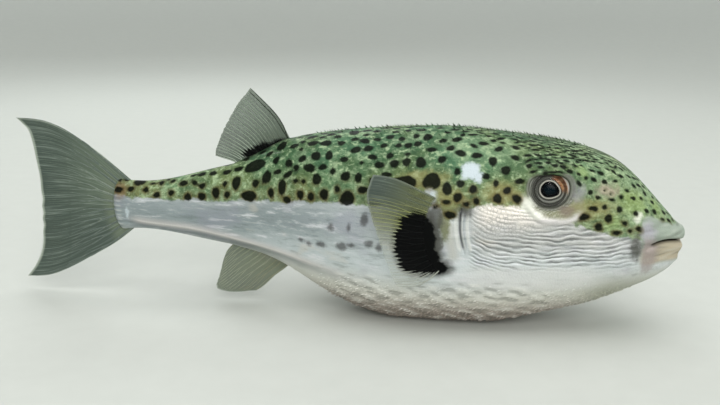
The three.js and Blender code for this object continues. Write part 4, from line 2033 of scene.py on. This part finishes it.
@dataclass
class Fin:
    """A fin: a membrane held open by branched rays.

    The outline is four paths in the fin's own plane. Leading and trailing run from the root
    to the free edge, root and margin from the leading to the trailing side.

    Attributes:
        name: The node that it stands for.
        leading: The front or upper edge.
        trailing: The rear or lower edge.
        root: The foot, inside the body.
        margin: The free edge.
        rays: How many rays leave the body.
        splits: Shares of the length where each ray divides in two.
        ray_width: Radius of a ray at its root.
        membrane: Thickness at the root.
        wave: Depth of the membrane's slow undulation.
        finish: The membrane's finish.
        ray_finish: The rays' finish.
        place: Turns points in the fin's plane into points in space.
        blotch: The ovals of its black blotch: x, z, half length, half height.
        steps: Rows of points from the root to the free edge.
        ray_length: About how long a ray is, which sets where its joints go on after a fork.
    """

    name: str
    leading: Sequence[Point2]
    trailing: Sequence[Point2]
    root: Sequence[Point2]
    margin: Sequence[Point2]
    rays: int
    splits: tuple[float, ...]
    ray_width: float
    membrane: float
    wave: float
    finish: FinFinish
    ray_finish: RayFinish
    place: Callable[[Array], Array]
    blotch: tuple[Oval, ...] = ()
    steps: int = 64
    ray_length: float = 40.0

    def surface(self, across: Array, along: Array) -> Array:
        """Points of the fin's middle surface in its own plane.

        Args:
            across: From 0 at the leading edge to 1 at the trailing edge.
            along: From 0 at the root to 1 at the free edge.

        Returns:
            Places as two in-plane numbers and a height over the plane.
        """
        s, t = across[..., None], along[..., None]
        leading, trailing = Path(self.leading), Path(self.trailing)
        root, margin = Path(self.root), Path(self.margin)
        flat = (1 - s) * leading(along) + s * trailing(along)
        flat = flat + (1 - t) * root(across) + t * margin(across)
        corners = (1 - s) * (1 - t) * leading(0.0) + s * (1 - t) * trailing(0.0)
        corners = corners + (1 - s) * t * leading(1.0) + s * t * trailing(1.0)
        height = self.wave * along**1.6 * (
            np.sin(2 * np.pi * (1.15 * across + 0.22)) + 0.35 * np.sin(2 * np.pi * (3.1 * across + along))
        )
        return np.concatenate([flat - corners, height[..., None]], axis=-1)

    def ray_lines(self) -> list[tuple[Array, Array, float]]:
        """Lay out the rays.

        Returns:
            For each stretch between two forks: its places across and along the fin and its radius.
        """
        lines = []
        knots = (0.0, *self.splits, 1.0)
        for ray in range(self.rays):
            edge = ray in (0, self.rays - 1)
            shift = math.copysign(0.22, ray - 1) if edge else 0.13 * math.sin(2.7 * ray * ray)
            middle = (ray + 0.5 + shift) / self.rays
            for level, (start, stop) in enumerate(zip(knots[:-1], knots[1:])):
                for twig in range(2**level):
                    offset, before = 0.0, 0.0
                    for k in range(level):
                        sign = 1 if (twig >> (level - 1 - k)) & 1 else -1
                        step = sign / (self.rays * 2 ** (k + 2))
                        before = offset
                        offset += step
                    t = np.linspace(start, stop, max(3, int(self.steps * (stop - start))))
                    ease = rise(start, min(1.0, start + 0.22), t) if level else np.zeros_like(t)
                    s = middle + before + (offset - before) * ease
                    if edge:
                        s = middle + (s - middle) * 0.9
                    lines.append((s, t, self.ray_width * 0.74**level))
        return lines

    def build_membrane(self) -> None:
        """Make the membrane, closed all round."""
        count = self.rays * 2 ** len(self.splits)
        columns = 3 * count + 1
        along = np.linspace(0, 1, self.steps) ** 0.9
        t, s = np.meshgrid(along, np.linspace(0, 1, columns), indexing="ij")
        scallop = 0.008 * (0.5 - 0.5 * np.cos(2 * np.pi * count * s)) * rise(0.85, 1, t)
        scallop += 0.006 * (1 + np.sin(37 * s + 5 * np.sin(11 * s))) * rise(0.9, 1, t)
        scallop *= rise(0, 0.2, s) * rise(1, 0.8, s)
        middle = self.surface(s, t * (1 - scallop))
        half = self.membrane / 2 * (1 - 0.72 * t) + 0.03
        sheets = []
        for sign in (1, -1):
            sheet = middle.copy()
            sheet[..., 2] += sign * half
            sheets.append(self.place(sheet).reshape(-1, 3))
        size = t.size
        quads = grid_faces(*t.shape)
        border = np.concatenate([
            np.arange(columns), np.arange(1, len(along)) * columns + columns - 1,
            (len(along) - 1) * columns + np.arange(columns - 2, -1, -1),
            np.arange(len(along) - 2, 0, -1) * columns,
        ])
        following = np.roll(border, -1)
        rim = np.stack([border, following, following + size, border + size], axis=1)
        faces = np.concatenate([quads, quads[:, ::-1] + size, rim])
        hem = np.maximum(rise(0.972, 0.995, t), 0.8 * rise(0.018, 0.004, s) * rise(0.05, 0.3, t))
        hem = np.maximum(hem, 0.6 * rise(0.992, 1.0, s) * rise(0.05, 0.3, t))
        stain = self.stain(self.place(middle), s, t)
        fields = {"along": t, "across": s * count, "lag": s, "hem": hem, "blotch": stain}
        fields = {key: np.tile(value.ravel(), 2) for key, value in fields.items()}
        name = self.name + "_membrane"
        piece = make_piece(name, np.concatenate(sheets), faces, self.finish.build(), fields)
        outward(piece)
        place_piece(piece, "fin_membrane", self.name)

    def stain(self, spots: Array, across: Array, along: Array) -> Array:
        """Measure the black blotch, whose edge is toothed along the rays.

        Args:
            spots: Points of the fin in space.
            across: Their places across the fin.
            along: Their places along it.

        Returns:
            How deep they lie inside the blotch, above 0 where they do.
        """
        if not self.blotch:
            return np.full(along.shape, -9.0)
        teeth = np.cos(2 * np.pi * self.rays * 2 * across) * (1.3 + 1.1 * np.sin(9.7 * self.rays * across))
        depth = blotch_depth(self.blotch, spots[..., 0], spots[..., 2])
        depth = depth + teeth * rise(0, 0.5, along) + 0.9 * Ripple((9, 40, 4), 35)(spots)
        return depth / (1 + 3.5 * rise(0.42, 0.12, along))

    def build_rays(self) -> None:
        """Grow tubes along the rays' lines."""
        rows, edges, start = [], [], 0
        for s, t, radius in self.ray_lines():
            spots = self.place(self.surface(s, t))
            steps = np.linalg.norm(np.diff(spots, axis=0, prepend=spots[:1]), axis=1)
            width = radius * (1 - 0.62 * t) * rise(1.04, 0.9, t) + 0.05
            reach = np.cumsum(steps) + self.ray_length * t[0]
            rows.append(np.column_stack([spots, width * MM, reach, t, s, self.stain(spots, s, t)]))
            edges.extend((i, i + 1) for i in range(start, start + len(t) - 1))
            start += len(t)
        table = np.concatenate(rows)
        mesh = bpy.data.meshes.new("ray_lines")
        mesh.from_pydata((table[:, :3] * MM).tolist(), edges, [])
        write_fields(mesh, dict(zip(("width", "reach", "along", "lag", "blotch"), table[:, 3:].T)))
        carrier = add_object("ray_lines", mesh)
        name = self.name + "_rays"
        result = grow(carrier, self.ray_tree(name), {"Sides": 6}, name)
        bpy.data.objects.remove(carrier)
        result.polygons.foreach_set("use_smooth", [True] * len(result.polygons))
        place_piece(add_object(name, result), "fin_membrane")

    def ray_tree(self, name: str) -> NodeTree:
        """Build the node tree that turns lines into tapering tubes.

        Args:
            name: The tree's name.

        Returns:
            The tree.
        """
        g, given = geometry_tree(name, Sides="Int")
        curve = g.value("GeometryNodeMeshToCurve", None, {"Mesh": given["Geometry"]})
        sockets = {"Resolution": given["Sides"], "Radius": 1.0}
        ring = g.value("GeometryNodeCurvePrimitiveCircle", {"mode": "RADIUS"}, sockets)
        width = g.read("width")
        tube = g.value("GeometryNodeCurveToMesh", None,
                       {"Curve": curve, "Profile Curve": ring, "Scale": width, "Fill Caps": True})
        solid = g.value("GeometryNodeRealizeInstances", None, {"Geometry": tube})
        sockets = {"Geometry": solid, "Material": self.ray_finish.build()}
        painted = g.value("GeometryNodeSetMaterial", None, sockets)
        g.add("NodeGroupOutput", None, {"Geometry": painted})
        return g.tree

    def build(self) -> None:
        """Make the membrane and the rays."""
        self.build_membrane()
        self.build_rays()


def outward(piece: Object) -> None:
    """Turn the faces of a closed piece to point outwards.

    Args:
        piece: The piece.
    """
    shell = bmesh.new()
    shell.from_mesh(piece.data)
    bmesh.ops.recalc_face_normals(shell, faces=shell.faces)
    shell.to_mesh(piece.data)
    shell.free()


def upright(points: Array) -> Array:
    """Stand a fin's plane on the fish's middle."""
    return np.stack([points[..., 0], points[..., 2], points[..., 1]], axis=-1)


@dataclass(frozen=True)
class PectoralPlace:
    """How a pectoral fin is set on the flank.

    Attributes:
        side: Which side.
        foot: Where its lowest ray leaves the body, for the left side.
        spread: Degrees that it stands out.
        tilt: Degrees that its upper end leans in.
        cup: How much its free edge curls outwards.
        reach: Distance from the foot at which it curls as much.
    """

    side: Side
    foot: Point3 = (4.5, 42.2, 43.5)
    spread: float = 15.0
    tilt: float = 5.0
    cup: float = 3.0
    reach: float = 40.0

    def __call__(self, points: Array) -> Array:
        """Set the fin on the flank.

        Args:
            points: Places in the fin's plane, with a height over it.

        Returns:
            Places in space.
        """
        u, v, height = points[..., 0], points[..., 1], points[..., 2]
        share = np.maximum(-u, 0) / self.reach
        out = height + self.cup * (share**2 - 0.35 * share)
        tilt, spread = math.radians(self.tilt), math.radians(self.spread)
        y = out * math.cos(tilt) - v * math.sin(tilt)
        z = out * math.sin(tilt) + v * math.cos(tilt)
        x = u * math.cos(spread) + y * math.sin(spread)
        y = y * math.cos(spread) - u * math.sin(spread)
        foot_x, foot_y, foot_z = self.foot
        return np.stack([foot_x + x, self.side.value * (foot_y + y), foot_z + z], axis=-1)


GREY_FIN = FinFinish("tail_fin_membrane", "667263", "4B564F", "6E7866", "4C5750", 0.98, 0.94, streaks=0.7)
CLEAR_FIN = FinFinish(
    "dorsal_fin_membrane", "5A6658", "626F60", "1B2117", "5C695B", 0.85, 0.6, 1.0, 0.16, hem=0.3
)
OLIVE_FIN = FinFinish("anal_fin_membrane", "7D846E", "788070", "98998A", "788070", 0.85, 0.7)
PECTORAL_FIN = FinFinish(
    "pectoral_fin_membrane", "757A4C", "515B56", "6B6C48", "C2C5BC", 0.6, 0.45, 0.25, lead=0.8, hem=0.35
)


def all_fins() -> list[Fin]:
    """Describe the fish's fins.

    Returns:
        The fins, ready to be built.
    """
    tail = Fin(
        "tail_fin",
        leading=(
            (-199, 77.4), (-219.8, 94.6), (-232.8, 103.6), (-246, 111), (-259.5, 115.4), (-276.9, 116.6),
        ),
        trailing=((-199, 46.6), (-214, 35.2), (-231, 25.4), (-247, 17), (-263.1, 10.4), (-280.1, 8.2)),
        root=((-199, 77.4), (-206.5, 70), (-208.5, 62), (-206.5, 54), (-199, 46.6)),
        margin=(
            (-276.9, 116.6), (-270, 109), (-265.6, 97), (-263.4, 80), (-262.8, 62.3), (-264.2, 46),
            (-267.6, 31), (-272.4, 18), (-280.1, 8.2),
        ),
        rays=11, splits=(0.2, 0.42, 0.66), ray_width=0.8, membrane=0.7, wave=1.6,
        finish=GREY_FIN, place=upright,
        ray_finish=RayFinish("tail_fin_rays", "7A8479", "68736A", "5E6962", "66706A"),
    )
    dorsal = Fin(
        "dorsal_fin",
        leading=((-92, 105.5), (-94.6, 109.5), (-99.8, 119.5), (-109, 130), (-118.2, 138.5)),
        trailing=((-127, 90), (-131, 92.6), (-136, 94), (-142.4, 95.6)),
        root=((-92, 105.5), (-104, 100.4), (-116, 94), (-127, 90)),
        margin=((-118.2, 138.5), (-125, 130.6), (-131, 121.5), (-137, 111), (-141.6, 101), (-142.4, 95.6)),
        rays=11, splits=(0.12,), ray_width=0.5, membrane=0.45, wave=1.0,
        finish=CLEAR_FIN, place=upright,
        ray_finish=RayFinish("dorsal_fin_rays", "4A5244", "8F9A8C", "161A12", "9AA496", 0.085),
        blotch=((-118, 96.6, 6, 5), (-110.5, 101, 6.5, 5), (-100, 104.5, 7, 4)),
    )
    anal = Fin(
        "anal_fin",
        leading=((-93, 32), (-96.5, 25.6), (-105, 18.6), (-113, 11), (-119, 6.8)),
        trailing=((-127, 42), (-131, 39.5), (-134.4, 36.6), (-138, 32)),
        root=((-93, 32), (-104, 36), (-116, 39.6), (-127, 42)),
        margin=((-119, 6.8), (-132, 5.4), (-144.8, 7.6), (-143.8, 14), (-141.4, 23), (-138, 32)),
        rays=11, splits=(0.45, 0.75), ray_width=0.5, membrane=0.45, wave=1.0,
        finish=OLIVE_FIN, place=upright,
        ray_finish=RayFinish("anal_fin_rays", "9C9E8C", "969C87", "8C8E78", "969C87"),
    )
    fins = [tail, dorsal, anal]
    for side in Side:
        fins.append(Fin(
            f"pectoral_fin_{side.word}",
            leading=((3, 35), (-2, 38.5), (-15, 45.5), (-28, 51.5), (-40, 54)),
            trailing=((3, 2), (-1, -1.5), (-8.5, -8), (-17, -10.6), (-26.5, -10.1)),
            root=((3, 35), (0.5, 26), (0, 18), (0.5, 10), (3, 2)),
            margin=((-40, 54), (-43.6, 44.5), (-41.6, 31.5), (-36, 13.5), (-30.6, -2.5), (-26.5, -10.1)),
            rays=16, splits=(0.45,), ray_width=0.3, membrane=0.35, wave=1.1,
            finish=PECTORAL_FIN, place=PectoralPlace(side), blotch=Markings.blotch,
            ray_finish=RayFinish("pectoral_fin_rays", "8C8D58", "92955F", "545C56", "A0A398", 0.24),
        ))
    return fins


# ---- eyes


@dataclass(frozen=True)
class Eye:
    """An eye: a banded iris with a pear-shaped pupil, a dark lens and a clear cornea.

    Attributes:
        site: Where it sits.
        side: Which side.
        radius: Radius of the iris.
        pupil: Half the pupil's height.
        bulge: How far the cornea stands out of the lids.
        cornea: Radius of the cornea.
        turns: Corners round each circle.
        hidden: Share of the iris's rings that lie under the lens.
    """

    site: EyeSite
    side: Side
    radius: float = 12.4
    pupil: float = 4.4
    bulge: float = 2.2
    cornea: float = 9.4
    turns: int = 96
    hidden: float = 0.2

    def space(self, forward: Array, up: Array, out: Array) -> Array:
        """Turn places measured from the opening into places in space."""
        local = np.stack([forward, up, out], axis=-1) @ self.site.axes(self.side)
        return self.side.mirror * self.site.centre + local

    def pupil_edge(self, angle: Array) -> Array:
        """Distance of the pupil's edge, which runs out to a blunt point in front."""
        point = np.exp(-((np.angle(np.exp(1j * (angle + 0.3))) / 0.5) ** 2))
        return self.pupil * (1 + 0.08 * np.cos(angle) ** 2 + 0.03 * np.cos(3 * angle + 1.2) + 0.17 * point)

    def disc(self, name: str, rings: Array, shape: Callable, material: Material,
             extra: Callable) -> Object:
        """Make a piece from circles round the eye's axis, closed at its middle and behind.

        Args:
            name: The piece's name.
            rings: Numbers from 0 at the middle to 1 at the edge.
            shape: Gives the radius and height from the rings and the angle.
            material: The finish.
            extra: Gives the fields that the finish reads, in the same way.

        Returns:
            The object.
        """
        angle = np.arange(self.turns) * 2 * np.pi / self.turns
        ring, turn = np.meshgrid(rings, angle, indexing="ij")
        radius, height = shape(ring, turn)
        points = self.space(radius * np.cos(turn), radius * np.sin(turn), height).reshape(-1, 3)
        poles = np.array([height[0].mean(), height[-1].mean() - 0.8])
        points = np.concatenate([points, self.space(np.zeros(2), np.zeros(2), poles)])
        fields = tube_fields(extra(ring, turn))
        name = f"{name}_{self.side.word}"
        piece = make_piece(name, points, tube_faces(len(rings), self.turns), material, fields)
        outward(piece)
        return piece

    def iris_shape(self, ring: Array, turn: Array) -> tuple[Array, Array]:
        """Shape the iris, whose rings under the lens are hidden.

        Args:
            ring: From 0 at the middle to 1 at the edge.
            turn: The angle.

        Returns:
            The radius and the height there.
        """
        inner = self.pupil_edge(turn)
        share = np.clip((ring - self.hidden) / (1 - self.hidden), 0, 1)
        seen = inner + (self.radius - inner) * (ring - self.hidden) / (1 - self.hidden)
        radius = np.where(ring < self.hidden, inner * ring / self.hidden, seen)
        ridges = bell(share, 0.32, 0.06) + bell(share, 0.56, 0.07) + bell(share, 0.81, 0.07)
        height = -0.9 - 0.8 * share**1.5 + 0.25 * bell(share, 0.05, 0.05) + 0.3 * ridges
        return radius, height - 1.6 * rise(0.2, 0.13, ring)

    def iris_fields(self, ring: Array, turn: Array) -> Fields:
        """Say how far out a place on the iris lies, and how near the warm patch in front."""
        off = np.angle(np.exp(1j * (turn - 0.62)))
        return {"ring": (ring - self.hidden) / (1 - self.hidden), "front": rise(0.95, 0.45, np.abs(off))}

    def lens_shape(self, ring: Array, turn: Array) -> tuple[Array, Array]:
        """Shape the lens, as iris_shape does the iris."""
        return self.pupil_edge(turn) * 1.04 * ring, -1.9 + 2.1 * np.sqrt(1 - 0.98 * ring**2)

    def cornea_shape(self, ring: Array, turn: Array) -> tuple[Array, Array]:
        """Shape the cornea, as iris_shape does the iris."""
        return self.cornea * ring, -1.2 + (self.bulge + 1.2) * np.sqrt(1 - 0.96 * ring**2)

    def window_fields(self, ring: Array, turn: Array) -> Fields:
        """Say how near the middle a place on the lens or cornea lies."""
        return {"centre": 1 - ring}

    def build(self) -> None:
        """Make the iris, lens and cornea."""
        iris_rings = np.concatenate([np.linspace(0.03, self.hidden, 8), np.linspace(0.22, 1, 36)])
        iris = self.disc("iris", iris_rings, self.iris_shape, IrisFinish().build(), self.iris_fields)
        place_piece(iris, "eye", f"eye_{self.side.word}")
        rings = np.linspace(0.04, 1, 24)
        for name, shape, finish in (
            ("lens", self.lens_shape, LensFinish()), ("cornea", self.cornea_shape, CorneaFinish()),
        ):
            place_piece(self.disc(name, rings, shape, finish.build(), self.window_fields), "eye")


# ---- the studio


@dataclass(frozen=True)
class Lamp:
    """A soft rectangular light.

    Attributes:
        name: Its name.
        place: Where it hangs, in metres.
        size: Its width and depth.
        power: Its power in watts.
        colour: Its colour.
        aim: Height of the place that it faces, in metres.
    """

    name: str
    place: Point3
    size: Point2
    power: float
    colour: tuple[float, float, float]
    aim: float = 0.06

    def build(self) -> None:
        """Hang the light so that it faces the fish."""
        light = bpy.data.lights.new(self.name, "AREA")
        light.shape = "RECTANGLE"
        light.size, light.size_y = self.size
        light.energy = self.power
        light.color = self.colour
        holder = add_object(self.name, light)
        holder.location = self.place
        x, y, z = self.place
        holder.rotation_euler = (math.atan2(math.hypot(x, y), z - self.aim), 0, math.atan2(x, -y))


@dataclass(frozen=True)
class Studio:
    """A pale floor that curves up all round, and soft lights.

    Attributes:
        flat: Radius of the flat floor, in metres.
        curve: Radius of the curve at its edge.
        height: Height of the wall.
        turns: Corners round the wall.
        drop: How far the floor lies under the fish.
    """

    flat: float = 1.5
    curve: float = 4.0
    height: float = 4.2
    turns: int = 96
    drop: float = 0.00005

    def build(self) -> None:
        """Make the floor, the lights and the sky light."""
        bend = np.linspace(0, np.pi / 2, 20)
        wall = self.flat + self.curve
        radius = np.concatenate([[0.02, 0.8], self.flat + self.curve * np.sin(bend), [wall]])
        height = np.concatenate([[0, 0], self.curve * (1 - np.cos(bend)), [self.height]]) - self.drop
        turn = np.arange(self.turns) * 2 * np.pi / self.turns
        across, up = radius[:, None], np.repeat(height[:, None], self.turns, axis=1)
        rings = np.stack([across * np.cos(turn), across * np.sin(turn), up], axis=-1)
        points = np.concatenate([rings.reshape(-1, 3), [[0, 0, height[0]]]]) / MM
        j = np.arange(self.turns)
        middle = [[len(points) - 1, a, b] for a, b in zip(j, (j + 1) % self.turns)]
        faces = grid_faces(len(radius), self.turns, closed=True).tolist() + middle
        floor = make_piece("floor", points, faces, FloorFinish().build())
        for lamp in (
            Lamp("overhead", (0.0, -0.1, 2.2), (3.0, 2.6), 45.0, (1.0, 1.0, 0.98)),
            Lamp("front", (0.45, -1.5, 1.0), (1.2, 0.8), 15.5, (1.0, 1.0, 0.98)),
            Lamp("rear", (-0.7, 1.3, 1.0), (1.0, 0.6), 6.0, (0.95, 1.0, 1.0)),
        ):
            lamp.build()
        world = bpy.data.worlds.new("sky")
        world.use_nodes = True
        sky = world.node_tree.nodes["Background"].inputs
        sky["Color"].default_value = (0.9, 0.96, 0.96, 1)
        sky["Strength"].default_value = 0.38
        bpy.context.scene.world = world
        bpy.context.scene.view_settings.view_transform = "Standard"


# ---- the whole


def main() -> None:
    """Build the fish, its fins and eyes, and the studio."""
    logging.basicConfig(level=logging.INFO, format="%(name)s: %(message)s")
    sight = Sight()
    sight.build()
    relief = Relief()
    skin = Skin(SkinGrid(), relief, Markings(sight))
    skin.build()
    skin.dress()
    Spinules("belly_spinules", "prickle_belly", 1.9, 1.7, 0.36, 1.5, 5).build(skin.piece)
    Spinules("back_spinules", "prickle_back", 3.0, 1.9, 0.3, 0.9, 6).build(skin.piece)
    for side in Side:
        Eye(relief.eye, side).build()
    for fin in all_fins():
        fin.build()
    Studio().build()
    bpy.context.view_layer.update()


if __name__ == "__main__":
    main()
